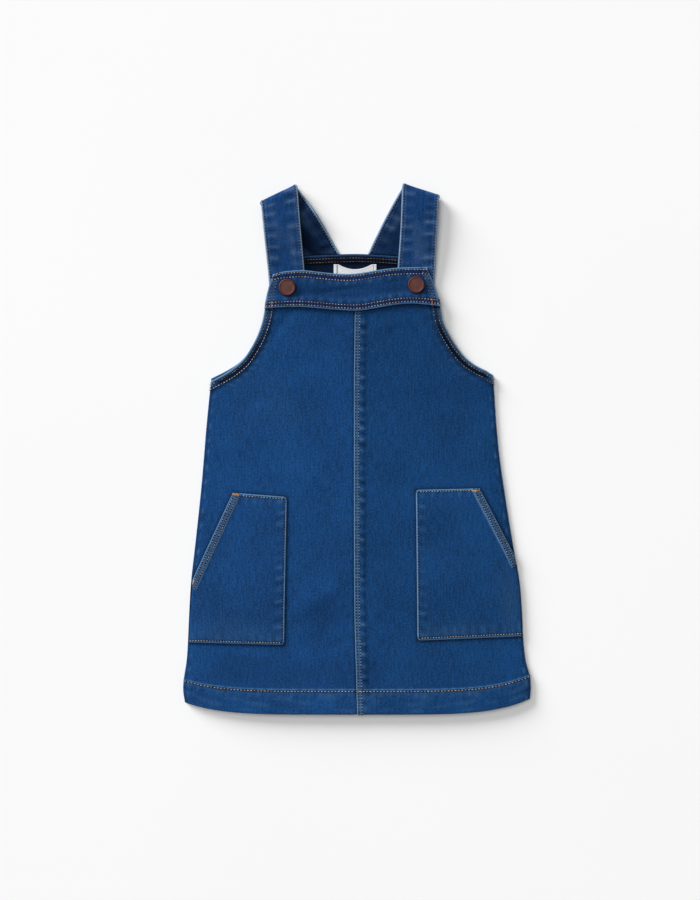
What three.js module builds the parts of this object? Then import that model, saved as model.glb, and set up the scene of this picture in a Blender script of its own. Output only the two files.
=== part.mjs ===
// A toddler's denim pinafore dress, laid out flat on its back, face up.
// Millimetres. +X is to the right of someone looking down at its front, +Y runs from hem to straps,
// +Z is up from the surface it lies on. The origin is under the middle of its outline.
import * as THREE from "three";

// Cloth thicknesses
const CLOTH = 1.2; // one layer of stretch denim
const TURNED = 0.8; // what a turned and stitched edge adds to it
const BAND_WALL = 2.0; // bib band, folded double
const STRAP_WALL = 2.2; // strap, folded double with its edges turned in
const FACING_WALL = 1.0; // strip sewn inside the back neck
const LABEL_WALL = 1.0;
const GAP = 0.3; // between two layers that touch

// Widths of the turned edges
const ARMHOLE_TURN = 6.6;
const SEAM_FELL = 8.8; // centre front seam, folded towards the right panel
const POCKET_MOUTH_TURN = 6.4;
const NECK_FACING_DEPTH = 8.0;
const STEP = 0.7; // run of the slope beside a turned edge

// How far the front stands off the back
const PUFF = 1.4; // air between front and back, away from the side seams
const PUFF_REACH = 6; // distance from a side seam at which most of it is reached
const STRAP_LIFT = 1.4; // more, where a strap end lies under the bib
const LIFT_SIDE = 5; // width of that lift past each edge of the strap
const LIFT_SLOPE = 22; // and of the slope beside it
const LIFT_FROM_Y = 66; // it rises from below the armholes
const LIFT_TO_Y = 124; // up to the band
const ARMHOLE_FROM_Y = 40; // the front rises over the back's turned armhole edges
const ARMHOLE_TO_Y = 60;

// Outline of the body, a row for each section from the bib band down to the hem.
// Each section runs from the left edge to the centre front seam and on to the right edge.
// A section marked corner has an angle in its outline.
const FRONT = [
  { leftX: -82.4, leftY: 132.0, seamX: -1.8, seamY: 130.0, rightX: 74.4, rightY: 134.6 },
  { leftX: -82.9, leftY: 124.8, seamX: -2.0, seamY: 122.0, rightX: 74.9, rightY: 127.4 },
  { leftX: -85.4, leftY: 113.0, seamX: -2.2, seamY: 110.0, rightX: 77.6, rightY: 113.8 },
  { leftX: -89.4, leftY: 101.8, seamX: -2.4, seamY: 96.0, rightX: 83.0, rightY: 102.4 },
  { leftX: -95.3, leftY: 90.4, seamX: -2.6, seamY: 82.0, rightX: 90.0, rightY: 91.2 },
  { leftX: -102.6, leftY: 80.0, seamX: -2.8, seamY: 68.0, rightX: 98.5, rightY: 81.0 },
  { leftX: -112.0, leftY: 71.8, seamX: -2.8, seamY: 54.0, rightX: 108.4, rightY: 74.0 },
  { leftX: -121.6, leftY: 65.8, seamX: -2.8, seamY: 42.0, rightX: 115.8, rightY: 70.4 },
  { leftX: -131.0, leftY: 61.0, seamX: -2.8, seamY: 31.0, rightX: 122.2, rightY: 66.4, corner: true },
  { leftX: -133.0, leftY: 43.7, seamX: -2.8, seamY: 16.0, rightX: 123.8, rightY: 43.7 },
  { leftX: -135.6, leftY: 16.7, seamX: -2.8, seamY: -6.0, rightX: 125.7, rightY: 16.7 },
  { leftX: -137.8, leftY: -10.4, seamX: -2.8, seamY: -28.0, rightX: 128.5, rightY: -10.4 },
  { leftX: -140.2, leftY: -37.4, seamX: -2.8, seamY: -50.0, rightX: 132.4, rightY: -37.4 },
  { leftX: -143.0, leftY: -64.4, seamX: -2.8, seamY: -73.0, rightX: 136.6, rightY: -64.4 },
  { leftX: -146.0, leftY: -91.4, seamX: -2.7, seamY: -97.0, rightX: 141.2, rightY: -91.4 },
  { leftX: -149.0, leftY: -118.4, seamX: -2.6, seamY: -122.0, rightX: 146.0, rightY: -118.4 },
  { leftX: -150.7, leftY: -145.4, seamX: -2.3, seamY: -148.0, rightX: 148.3, rightY: -145.4 },
  { leftX: -151.9, leftY: -172.4, seamX: -1.7, seamY: -175.0, rightX: 149.4, rightY: -170.0 },
  { leftX: -153.1, leftY: -190.0, seamX: -1.0, seamY: -197.0, rightX: 151.6, rightY: -190.0 },
  { leftX: -155.8, leftY: -207.6, seamX: -0.5, seamY: -217.0, rightX: 155.4, rightY: -203.6, corner: true },
  { leftX: -156.1, leftY: -217.0, seamX: -0.2, seamY: -228.0, rightX: 156.1, rightY: -214.0 },
  { leftX: -154.6, leftY: -227.7, seamX: 0.0, seamY: -238.3, rightX: 155.4, rightY: -224.4, corner: true },
];
const UNDERARM = 8; // row of FRONT and BACK where armhole and side seam meet
const HEM_LINE = 19; // row of FRONT and BACK where the turned hem starts
const HEM_STEP = 0.12; // share of a row over which the cloth thickens there
const CHEST_BOW = 1.6; // how sharply a section bends up near its ends at the chest
const HEM_BOW = 5; // and at the hem

// The back's armholes are cut deeper towards the middle, so the front covers them.
// From the underarm down its outline is the front's.
const BACK_ARMHOLES = [
  { leftX: -64.0, leftY: 172.4, seamX: -1.4, seamY: 175.4, rightX: 54.4, rightY: 171.8, corner: true },
  { leftX: -68.2, leftY: 156.0, seamX: -1.6, seamY: 156.0, rightX: 58.2, rightY: 157.0 },
  { leftX: -74.0, leftY: 140.0, seamX: -1.8, seamY: 137.0, rightX: 65.6, rightY: 141.0 },
  { leftX: -79.4, leftY: 124.8, seamX: -2.0, seamY: 118.0, rightX: 72.2, rightY: 126.0 },
  { leftX: -86.2, leftY: 108.0, seamX: -2.2, seamY: 99.0, rightX: 79.6, rightY: 108.0 },
  { leftX: -95.0, leftY: 90.6, seamX: -2.4, seamY: 81.0, rightX: 89.6, rightY: 91.2 },
  { leftX: -104.0, leftY: 79.2, seamX: -2.6, seamY: 63.0, rightX: 98.2, rightY: 81.0 },
  { leftX: -114.8, leftY: 71.6, seamX: -2.7, seamY: 47.0, rightX: 108.2, rightY: 74.0 },
];
const BACK = [...BACK_ARMHOLES, { ...FRONT[UNDERARM], leftY: 63.2 }, ...FRONT.slice(UNDERARM + 1)];

// Bib band, a row for each upright line across it from left to right
const BAND = [
  { bottomX: -83.0, bottomY: 125.5, topX: -75.2, topY: 156.8 },
  { bottomX: -67.5, bottomY: 126.6, topX: -64.4, topY: 159.3 },
  { bottomX: -50.9, bottomY: 126.9, topX: -48.2, topY: 160.3 },
  { bottomX: -32.9, bottomY: 125.6, topX: -32.4, topY: 158.7 },
  { bottomX: -14.9, bottomY: 124.2, topX: -14.9, topY: 157.2 },
  { bottomX: 1.6, bottomY: 123.7, topX: -0.4, topY: 157.5 },
  { bottomX: 18.9, bottomY: 126.3, topX: 16.0, topY: 160.1 },
  { bottomX: 35.9, bottomY: 129.1, topX: 31.0, topY: 162.1 },
  { bottomX: 49.4, bottomY: 129.9, topX: 44.0, topY: 162.9 },
  { bottomX: 62.8, bottomY: 129.0, topX: 54.0, topY: 163.0 },
  { bottomX: 74.9, bottomY: 127.7, topX: 62.8, topY: 163.1 },
];
const BAND_END_BULGE = 1.2; // how far each short end bows outwards
const BAND_HEIGHT = 33;
const BAND_LAP = 8; // how far up the band lies on the top of the front
const BAND_SLOPE = 4.5; // height over which it comes down from there
const BAND_LINES = [0, 0.04, 0.24, 0.38, 0.6, 0.8, 0.96, 1]; // shares of its height

// Straps, each a long strip that runs from under the bib up to a fold at the shoulder,
// and from there along the surface to the back neck
const STRAPS = [
  {
    name: "strap_left",
    front: [
      { outerX: -77.9, outerY: 133.6, innerX: -45.9, innerY: 133.6 },
      { outerX: -79.0, outerY: 158.0, innerX: -47.2, innerY: 161.0 },
      { outerX: -82.4, outerY: 189.0, innerX: -50.6, innerY: 196.0 },
      { outerX: -87.0, outerY: 222.0, innerX: -54.6, innerY: 237.9 },
    ],
    back: [
      { outerX: -87.0, outerY: 222.0, innerX: -54.6, innerY: 237.9 },
      { outerX: -70.6, outerY: 198.0, innerX: -35.4, innerY: 212.0 },
      { outerX: -57.2, outerY: 174.0, innerX: -15.7, innerY: 175.9 },
    ],
  },
  {
    name: "strap_right",
    front: [
      { outerX: 68.7, outerY: 136.0, innerX: 35.6, innerY: 136.0 },
      { outerX: 70.2, outerY: 158.0, innerX: 36.7, innerY: 162.0 },
      { outerX: 72.2, outerY: 192.0, innerX: 39.4, innerY: 198.0 },
      { outerX: 74.6, outerY: 227.6, innerX: 41.6, innerY: 238.6 },
    ],
    back: [
      { outerX: 74.6, outerY: 227.6, innerX: 41.6, innerY: 238.6 },
      { outerX: 60.4, outerY: 200.0, innerX: 26.8, innerY: 210.4 },
      { outerX: 48.6, outerY: 173.4, innerX: 10.0, innerY: 175.9 },
    ],
  },
];
const STRAP_END_UNDER = 2.9; // height of the strap's underside at its end under the bib
const STRAP_FOLD_TOP = 10.4; // height of its outside where it starts over the fold
const FOLD_RUN = 3.2; // how far the fold bulges past the layers it joins
const STRAP_FRONT_STEPS = 16;
const STRAP_TURN_STEPS = 10;
const STRAP_BACK_STEPS = 8;

// Patch pockets, a row for each section from the top edge down.
// The outer edge is the slanting mouth down to its corner, and then the side seam.
const POCKETS = [
  {
    name: "pocket_left",
    rows: [
      { outerX: -111.4, outerY: -39.4, innerX: -62.8, innerY: -43.2, corner: true },
      { outerX: -129.4, outerY: -77.9, innerX: -63.6, innerY: -83.0 },
      { outerX: -147.2, outerY: -116.4, innerX: -64.4, innerY: -121.0, corner: true },
      { outerX: -149.4, outerY: -145.6, innerX: -64.9, innerY: -149.0 },
      { outerX: -150.8, outerY: -174.0, innerX: -65.2, innerY: -176.2, corner: true },
    ],
  },
  {
    name: "pocket_right",
    rows: [
      { outerX: 110.4, outerY: -35.6, innerX: 52.9, innerY: -36.8, corner: true },
      { outerX: 126.2, outerY: -65.8, innerX: 53.4, innerY: -72.0 },
      { outerX: 141.8, outerY: -96.0, innerX: 53.8, innerY: -107.0, corner: true },
      { outerX: 146.9, outerY: -132.0, innerX: 54.1, innerY: -140.0 },
      { outerX: 148.3, outerY: -168.4, innerX: 54.4, innerY: -172.4, corner: true },
    ],
  },
];

const MOUTH_END = 2; // row of a pocket where its mouth meets the side seam
const MOUTH_SLANT = 1.15; // length of a pocket's row across the mouth's turned edge, over its width

// Main creases of the front: soft troughs, negative, and ridges, positive
const CREASES = [
  { x: -36, y: -148, angle: 28, length: 46, width: 13, depth: -0.7 },
  { x: -24, y: -127, angle: 30, length: 34, width: 10, depth: 0.5 },
  { x: -112, y: -193, angle: -20, length: 40, width: 9, depth: -0.5 },
  { x: 60, y: 96, angle: -58, length: 44, width: 10, depth: -0.5 },
  { x: -72, y: 96, angle: 58, length: 44, width: 10, depth: -0.5 },
  { x: 30, y: 112, angle: 12, length: 40, width: 8, depth: 0.4 },
];

// Snap fasteners, and the row of BAND where each sits
const SNAPS = [
  { name: "snap_left", x: -62.6, y: 144.9, row: 1.3 },
  { name: "snap_right", x: 53.1, y: 147.1, row: 8.7 },
];
const SNAP_RADIUS = 7.6;
const SNAP_HEIGHT = 2.2;
const SNAP_RIM = 1.1; // width of the rolled rim round the cap
const SNAP_DISH = 0.3; // how far the middle of the cap lies below its rim

// Neck label, a loop of tape sewn down at both ends. Its middle sags at the top and stands off a little.
const LABEL = { left: -20.8, right: 17.6, top: 165.9, height: 18.5, sag: 4.4, lift: 0.35, sewnEnd: 0.78 };
const LABEL_EVENS = 0.6; // share of the sag that is gone at the label's lower edge

// Colours
const DENIM = new THREE.MeshStandardMaterial({ color: 0x1b4578, roughness: 0.9, metalness: 0 });
const COPPER = new THREE.MeshStandardMaterial({ color: 0x5d3934, roughness: 0.45, metalness: 0.8 });
const TAPE = new THREE.MeshStandardMaterial({ color: 0xbfc4c8, roughness: 0.8, metalness: 0 });

const clamp = THREE.MathUtils.clamp;
const lerp = THREE.MathUtils.lerp;
const ease = (low, high, value) => THREE.MathUtils.smoothstep(value, low, high);

// A column's value at row position t, 0 at the first row: a smooth curve that keeps marked corners
function along(table, column, t) {
  const last = table.length - 1;
  const row = clamp(Math.floor(t), 0, last - 1);
  const part = t - row;
  const value = (k) => table[clamp(k, 0, last)][column];
  const rise = value(row + 1) - value(row);
  const sharp = (k) => k <= 0 || k >= last || table[k].corner;
  const slopeIn = sharp(row) ? rise : (value(row + 1) - value(row - 1)) / 2;
  const slopeOut = sharp(row + 1) ? rise : (value(row + 2) - value(row)) / 2;
  const square = part * part;
  const cube = square * part;
  return (
    value(row) * (2 * cube - 3 * square + 1) +
    slopeIn * (cube - 2 * square + part) +
    value(row + 1) * (3 * square - 2 * cube) +
    slopeOut * (cube - square)
  );
}

// Row positions from one table row to another, with a number of steps between each two rows
function rowsBetween(from, to, steps) {
  const rows = [];
  for (let k = 0; k <= Math.round((to - from) * steps); k += 1) rows.push(from + k / steps);
  return rows;
}

// Shortest distance from a point to an edge of a table, between two of its rows
function distanceTo(table, side, from, to, x, y) {
  let nearest = Infinity;
  const corner = (t) => new THREE.Vector2(along(table, `${side}X`, t), along(table, `${side}Y`, t));
  const point = new THREE.Vector2(x, y);
  const steps = rowsBetween(from, to, 2);
  for (let k = 1; k < steps.length; k += 1) {
    const start = corner(steps[k - 1]);
    const run = corner(steps[k]).sub(start);
    const part = clamp(point.clone().sub(start).dot(run) / run.lengthSq(), 0, 1);
    nearest = Math.min(nearest, start.addScaledVector(run, part).distanceTo(point));
  }
  return nearest;
}

// 1 on the turned strip along an edge, and 0 inside it, with a short slope between
const strip = (distance, width) => 1 - ease(width, width + STEP, distance);

const LAST_ROW = FRONT.length - 1;
const overHem = (t) => ease(HEM_LINE - HEM_STEP, HEM_LINE, t);

// Height of one crease at a point: a long soft mound or trough
function crease(fold, x, y) {
  const turn = THREE.MathUtils.degToRad(fold.angle);
  const away = new THREE.Vector2(x - fold.x, y - fold.y).rotateAround(new THREE.Vector2(), -turn);
  const reach = (away.x / (fold.length / 2)) ** 2 + (away.y / (fold.width / 2)) ** 2;
  return fold.depth * Math.exp(-reach);
}

// How much a strap end under the bib raises the front at a point
function strapLift(x, y) {
  let lift = 0;
  for (const { front } of STRAPS) {
    const middle = (front[0].outerX + front[0].innerX) / 2;
    const half = Math.abs(front[0].outerX - front[0].innerX) / 2 + LIFT_SIDE;
    const across = 1 - ease(half, half + LIFT_SLOPE, Math.abs(x - middle));
    lift = Math.max(lift, across * ease(LIFT_FROM_Y, LIFT_TO_Y, y));
  }
  return STRAP_LIFT * lift;
}

// Height of the front's underside
function frontUnder(x, y, t = 0) {
  const sides = ["left", "right"].map((side) => distanceTo(FRONT, side, UNDERARM, LAST_ROW, x, y));
  const clearOfEdge = 1 - Math.exp(-Math.min(...sides) / PUFF_REACH);
  const folds = CREASES.reduce((sum, fold) => sum + crease(fold, x, y), 0);
  const overHemTurn = ease(HEM_LINE - 1, HEM_LINE - HEM_STEP, t);
  const overTurned = TURNED * Math.max(overHemTurn, ease(ARMHOLE_FROM_Y, ARMHOLE_TO_Y, y));
  return CLOTH + GAP + overTurned + (PUFF + folds) * clearOfEdge + strapLift(x, y);
}

// A closed wall from a grid of places, each with a low and a high point
function wall(grid) {
  const points = [];
  const faces = [];
  const lines = grid.length;
  const places = grid[0].length;
  grid.flat().forEach(({ low, high }) => points.push(...low.toArray(), ...high.toArray()));
  const at = (line, place, high) => 2 * (line * places + place) + high;
  const quad = (a, b, c, d) => faces.push(a, b, c, a, c, d);
  for (let i = 0; i < lines - 1; i += 1) {
    for (let j = 0; j < places - 1; j += 1) {
      quad(at(i, j, 1), at(i, j + 1, 1), at(i + 1, j + 1, 1), at(i + 1, j, 1));
      quad(at(i, j, 0), at(i + 1, j, 0), at(i + 1, j + 1, 0), at(i, j + 1, 0));
    }
    const end = places - 1;
    quad(at(i, 0, 0), at(i, 0, 1), at(i + 1, 0, 1), at(i + 1, 0, 0));
    quad(at(i, end, 1), at(i, end, 0), at(i + 1, end, 0), at(i + 1, end, 1));
  }
  for (let j = 0; j < places - 1; j += 1) {
    const last = lines - 1;
    quad(at(0, j, 0), at(0, j + 1, 0), at(0, j + 1, 1), at(0, j, 1));
    quad(at(last, j, 1), at(last, j + 1, 1), at(last, j + 1, 0), at(last, j, 0));
  }
  if (volumeOf(points, faces) < 0) faces.reverse();
  const geometry = new THREE.BufferGeometry();
  geometry.setAttribute("position", new THREE.Float32BufferAttribute(points, 3));
  geometry.setIndex(faces);
  geometry.computeVertexNormals();
  return geometry;
}

// Signed volume of a triangle mesh: positive where its faces point out
function volumeOf(points, faces) {
  const corner = (k) => new THREE.Vector3().fromArray(points, 3 * faces[k]);
  let volume = 0;
  for (let k = 0; k < faces.length; k += 3) volume += corner(k).dot(corner(k + 1).cross(corner(k + 2))) / 6;
  return volume;
}

function piece(name, geometry, material) {
  const mesh = new THREE.Mesh(geometry, material);
  mesh.name = name;
  return mesh;
}

const upright = (x, y, under, thickness) => ({
  low: new THREE.Vector3(x, y, under),
  high: new THREE.Vector3(x, y, under + thickness),
});

// Places across a section, as distances in from its outer edge: closer together near the edges
function acrossSection(reach, edgeSteps, count, seamSteps) {
  const first = edgeSteps.at(-1);
  const last = reach - seamSteps[0];
  const inner = [];
  for (let k = 1; k < count; k += 1) inner.push(lerp(first, last, k / count));
  return [...edgeSteps, ...inner, ...seamSteps.map((step) => reach - step)];
}

// One side of a body table at row position t: its edge, its seam and the length between them
function section(table, side, t) {
  const edge = new THREE.Vector2(along(table, `${side}X`, t), along(table, `${side}Y`, t));
  const seam = new THREE.Vector2(along(table, "seamX", t), along(table, "seamY", t));
  return { edge, seam, reach: edge.distanceTo(seam) };
}

// Near the hem a section stays level with the seam and bends up towards its outer end
function pointAcross({ edge, seam, reach }, inwards, t) {
  const part = 1 - inwards / reach;
  const bow = lerp(CHEST_BOW, HEM_BOW, ease(UNDERARM + 4, HEM_LINE, t));
  return new THREE.Vector2(lerp(seam.x, edge.x, part), lerp(seam.y, edge.y, part ** bow));
}

// How much longer a section runs than the shortest way in from an armhole's edge
function slantAt(table, side, t) {
  if (t >= UNDERARM) return 1;
  const near = 0.1;
  const { edge, seam } = section(table, side, t);
  const before = section(table, side, Math.max(t - near, 0)).edge;
  const after = section(table, side, t + near).edge;
  const inwards = seam.sub(edge).normalize();
  const outline = after.sub(before).normalize();
  return 1 / Math.max(Math.abs(inwards.cross(outline)), LEAST_CROSSING);
}

const BODY_ROWS = [
  ...rowsBetween(0, UNDERARM, 3),
  ...rowsBetween(UNDERARM + 0.5, HEM_LINE - 0.5, 1.5),
  HEM_LINE - HEM_STEP,
  HEM_LINE,
  HEM_LINE + 0.9,
  LAST_ROW,
];
const EDGE_STEPS = [0, 2.4, ARMHOLE_TURN, ARMHOLE_TURN + STEP, 15];
const LEAST_CROSSING = 0.35; // sine of the sharpest angle between a section and its armhole
const FRONT_PLACES = 6; // spaces across half a section, between its edge and its seam
const BACK_PLACES = 4;

// Half of the front. The right half carries the felled seam, a raised strip along its inner edge.
function frontPanel(name, side) {
  const right = side === "right";
  const seamSteps = right ? [SEAM_FELL + STEP, SEAM_FELL, GAP / 2] : [SEAM_FELL, GAP / 2];
  const grid = BODY_ROWS.map((t) => {
    const line = section(FRONT, side, t);
    const slant = slantAt(FRONT, side, t);
    const edgeSteps = EDGE_STEPS.map((step) => step * slant);
    return acrossSection(line.reach, edgeSteps, FRONT_PLACES, seamSteps).map((inwards) => {
      const { x, y } = pointAcross(line, inwards, t);
      const turnedArmhole = t <= UNDERARM ? strip(inwards / slant, ARMHOLE_TURN) : 0;
      const felled = right ? strip(line.reach - inwards, SEAM_FELL) : 0;
      const turned = Math.max(turnedArmhole, overHem(t), felled);
      return upright(x, y, frontUnder(x, y, t), CLOTH + TURNED * turned);
    });
  });
  return piece(name, wall(grid), DENIM);
}

// The back is one panel from edge to edge. It lies flat, and its edges are turned to the inside.
function backPanel() {
  const grid = BODY_ROWS.map((t) => {
    const halves = ["left", "right"].map((side) => {
      const line = section(BACK, side, t);
      const slant = slantAt(BACK, side, t);
      const edgeSteps = EDGE_STEPS.map((step) => step * slant);
      return acrossSection(line.reach, edgeSteps, BACK_PLACES, [0]).map((inwards) => {
        const { x, y } = pointAcross(line, inwards, t);
        const belowFacing = t <= UNDERARM ? ease(0.6, 1, t) : 0;
        const turnedArmhole = strip(inwards / slant, ARMHOLE_TURN) * belowFacing;
        return upright(x, y, 0, CLOTH + TURNED * Math.max(turnedArmhole, overHem(t)));
      });
    });
    return [...halves[0], ...halves[1].reverse().slice(1)];
  });
  return piece("back", wall(grid), DENIM);
}

// Place on the bib band: t counts its table's rows, up runs from 0 at its lower edge to 1 at its top
function bandPoint(t, up) {
  const end = 2 * (t / (BAND.length - 1)) - 1;
  const bulge = BAND_END_BULGE * Math.sin(Math.PI * up) * end ** 7;
  return new THREE.Vector2(
    lerp(along(BAND, "bottomX", t), along(BAND, "topX", t), up) + bulge,
    lerp(along(BAND, "bottomY", t), along(BAND, "topY", t), up),
  );
}

// The band stands higher along its lower edge, where it laps over the top of the front
function bandUnder(x, y, up) {
  const lapped = 1 - ease(BAND_LAP, BAND_LAP + BAND_SLOPE, up * BAND_HEIGHT);
  return frontUnder(x, y) + GAP + (CLOTH + TURNED) * lapped;
}

function bibBand() {
  const grid = BAND_LINES.map((up) =>
    rowsBetween(0, BAND.length - 1, 2).map((t) => {
      const { x, y } = bandPoint(t, up);
      return upright(x, y, bandUnder(x, y, up), BAND_WALL);
    }),
  );
  return piece("bib_band", wall(grid), DENIM);
}

// Strip along the inside of the back neck, sewn over the strap ends
function neckFacing() {
  const grid = [0, 0.5, 1].map((down) =>
    rowsBetween(-1, 1, 10).map((place) => {
      const line = section(BACK, place < 0 ? "left" : "right", 0);
      const { x, y } = pointAcross(line, lerp(line.reach, 1, Math.abs(place)), 0);
      return upright(x, y - GAP - down * NECK_FACING_DEPTH, CLOTH + GAP, FACING_WALL);
    }),
  );
  return piece("back_neck_facing", wall(grid), DENIM);
}

// Middle line of a strap, for a place across it from 0 at its outer edge to 1 at its inner one
function strapLine(strap, across) {
  const place = (table, t) =>
    new THREE.Vector2(
      lerp(along(table, "outerX", t), along(table, "innerX", t), across),
      lerp(along(table, "outerY", t), along(table, "innerY", t), across),
    );
  const half = STRAP_WALL / 2;
  const low = half;
  const high = STRAP_FOLD_TOP - half;
  const frontLast = strap.front.length - 1;
  const backLast = strap.back.length - 1;
  const fold = place(strap.front, frontLast);
  const up = fold.clone().sub(place(strap.front, frontLast - 1)).normalize();
  const down = fold.clone().sub(place(strap.back, 1)).normalize();
  const shortfall = up.clone().add(down).setLength(-(FOLD_RUN + half));
  const line = [];
  for (let k = 0; k <= STRAP_FRONT_STEPS; k += 1) {
    const part = k / STRAP_FRONT_STEPS;
    const at = place(strap.front, part * frontLast).addScaledVector(shortfall, part ** 2);
    line.push(new THREE.Vector3(at.x, at.y, lerp(STRAP_END_UNDER + half, high, ease(0.3, 1, part))));
  }
  for (let k = 1; k < STRAP_TURN_STEPS; k += 1) {
    const angle = Math.PI * (0.5 - k / STRAP_TURN_STEPS);
    const aim = up.clone().lerp(down, k / STRAP_TURN_STEPS).normalize();
    const at = fold.clone().add(shortfall).addScaledVector(aim, FOLD_RUN * Math.cos(angle));
    line.push(new THREE.Vector3(at.x, at.y, (low + high) / 2 + ((high - low) / 2) * Math.sin(angle)));
  }
  for (let k = 0; k <= STRAP_BACK_STEPS; k += 1) {
    const part = k / STRAP_BACK_STEPS;
    const at = place(strap.back, part * backLast).addScaledVector(shortfall, (1 - part) ** 2);
    line.push(new THREE.Vector3(at.x, at.y + GAP * part, low));
  }
  return line;
}

function strapPiece(strap) {
  const places = [0, 0.05, 0.25, 0.5, 0.75, 0.95, 1];
  const lines = places.map((across) => strapLine(strap, across));
  const grid = lines.map((line, i) =>
    line.map((point, j) => {
      const acrossRun = lines[Math.min(i + 1, lines.length - 1)][j].clone().sub(lines[Math.max(i - 1, 0)][j]);
      const alongRun = line[Math.min(j + 1, line.length - 1)].clone().sub(line[Math.max(j - 1, 0)]);
      const normal = acrossRun.cross(alongRun).normalize();
      const edge = i === 0 || i === lines.length - 1;
      const half = ((edge ? 0.7 : 1) * STRAP_WALL) / 2;
      return {
        low: point.clone().addScaledVector(normal, -half),
        high: point.clone().addScaledVector(normal, half),
      };
    }),
  );
  return piece(strap.name, wall(grid), DENIM);
}

// A patch pocket lies on the front. Its mouth slants to the side seam and has a turned edge.
function pocketPiece({ name, rows }) {
  const edgeSteps = [0, 1, POCKET_MOUTH_TURN, POCKET_MOUTH_TURN + STEP].map((step) => step * MOUTH_SLANT);
  const grid = rowsBetween(0, rows.length - 1, 4).map((t) => {
    const line = {
      edge: new THREE.Vector2(along(rows, "outerX", t), along(rows, "outerY", t)),
      seam: new THREE.Vector2(along(rows, "innerX", t), along(rows, "innerY", t)),
    };
    line.reach = line.edge.distanceTo(line.seam);
    return acrossSection(line.reach, edgeSteps, FRONT_PLACES, [8, 0]).map((inwards) => {
      const part = inwards / line.reach;
      const x = lerp(line.edge.x, line.seam.x, part);
      const y = lerp(line.edge.y, line.seam.y, part);
      const turned = t <= MOUTH_END ? strip(inwards / MOUTH_SLANT, POCKET_MOUTH_TURN) : 0;
      return upright(x, y, frontUnder(x, y) + CLOTH + GAP, CLOTH + TURNED * turned);
    });
  });
  return piece(name, wall(grid), DENIM);
}

// Round cap of a snap fastener: a rolled rim round a slightly dished middle
function snapPiece({ name, x, y, row }) {
  const rim = SNAP_RADIUS - SNAP_RIM;
  const profile = [
    [0, 0],
    [SNAP_RADIUS - 0.8, 0],
    [SNAP_RADIUS, 0.6],
    [SNAP_RADIUS, SNAP_HEIGHT - 0.7],
    [SNAP_RADIUS - 0.3, SNAP_HEIGHT - 0.15],
    [SNAP_RADIUS - SNAP_RIM / 2, SNAP_HEIGHT],
    [rim, SNAP_HEIGHT - SNAP_DISH],
    [0, SNAP_HEIGHT - SNAP_DISH / 2],
  ].map(([radius, height]) => new THREE.Vector2(radius, height));
  const mesh = piece(name, new THREE.LatheGeometry(profile, 28).rotateX(Math.PI / 2), COPPER);
  const lowest = (y - SNAP_RADIUS - along(BAND, "bottomY", row)) / BAND_HEIGHT;
  mesh.position.set(x, y, bandUnder(x, y, lowest) + BAND_WALL + GAP);
  return mesh;
}

// Label inside the back neck: its ends are sewn down, and its middle hangs and bows up a little
function labelPiece() {
  const middle = (LABEL.left + LABEL.right) / 2;
  const half = (LABEL.right - LABEL.left) / 2;
  const grid = [0, 0.3, 0.65, 1].map((down) =>
    rowsBetween(0, 14, 1).map((k) => {
      const place = k / 7 - 1;
      const hang = Math.max(0, 1 - (place / LABEL.sewnEnd) ** 2);
      const y = LABEL.top - LABEL.sag * hang * (1 - LABEL_EVENS * down) - down * LABEL.height;
      return upright(middle + half * place, y, CLOTH + GAP + LABEL.lift * hang, LABEL_WALL);
    }),
  );
  return piece("neck_label", wall(grid), TAPE);
}

const dress = new THREE.Group();
dress.add(
  backPanel(),
  frontPanel("front_left", "left"),
  frontPanel("front_right", "right"),
  bibBand(),
  neckFacing(),
  ...STRAPS.map(strapPiece),
  ...POCKETS.map(pocketPiece),
  ...SNAPS.map(snapPiece),
  labelPiece(),
);

export default dress;
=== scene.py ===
import math

import bpy
import numpy as np
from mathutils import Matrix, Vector
from mathutils.bvhtree import BVHTree


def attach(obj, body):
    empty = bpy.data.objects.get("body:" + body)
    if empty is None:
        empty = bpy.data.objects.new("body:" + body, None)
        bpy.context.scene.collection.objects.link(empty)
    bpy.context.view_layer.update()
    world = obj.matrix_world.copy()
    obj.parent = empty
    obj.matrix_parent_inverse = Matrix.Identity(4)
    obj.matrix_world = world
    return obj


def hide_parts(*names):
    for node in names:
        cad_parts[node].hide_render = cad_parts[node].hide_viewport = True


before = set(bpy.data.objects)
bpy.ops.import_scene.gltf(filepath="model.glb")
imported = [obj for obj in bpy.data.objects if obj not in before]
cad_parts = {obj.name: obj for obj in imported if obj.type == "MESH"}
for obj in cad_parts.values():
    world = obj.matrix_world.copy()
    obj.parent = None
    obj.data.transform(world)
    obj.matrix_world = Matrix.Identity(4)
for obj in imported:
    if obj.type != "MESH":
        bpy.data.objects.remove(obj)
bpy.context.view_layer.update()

# Back panel
# One panel of stretch denim, cut from edge to edge. It lies flat under the front with its inside up,
# which shows at the neck. Its armholes and its hem are turned to the inside and stitched.

MM = 0.001
CLOTH = 1.2  # one layer of denim, in millimetres like all sizes below up to the studio's
TURNED = 0.8  # what a turned and stitched edge adds
LAYER_GAP = 0.3  # between layers that touch
GRAIN = 1.9  # spacing of the points that carry the cloth's folds
ARMHOLE_TURN = 7.4  # width of the turned edge
EDGE_RUN_ON = 14  # how far an armhole's line is taken on past the underarm
EDGE_STEPS = [  # widths in from an edge to the points that carry its roll and its rows
    0, 0.1, 0.28, 0.55, 0.95, 1.5, 2.2, 3.0, 3.8, 4.8, 5.8, 6.6, 7.3, 8.0, 9.2, 11, 13,
]
UNDERARM = 8  # point of each outline where armhole and side seam meet
HEM_LINE = 19  # where the turned hem starts
HEM_EDGE = 21
HEM_SLOPE = 0.12  # run over which the hem's turned cloth thins out
BODY_CORNERS = (UNDERARM, HEM_LINE)
MM_PER_ROW_ABOVE_HEM = 19.0  # length down a panel from one point of its outline to the next
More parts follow.
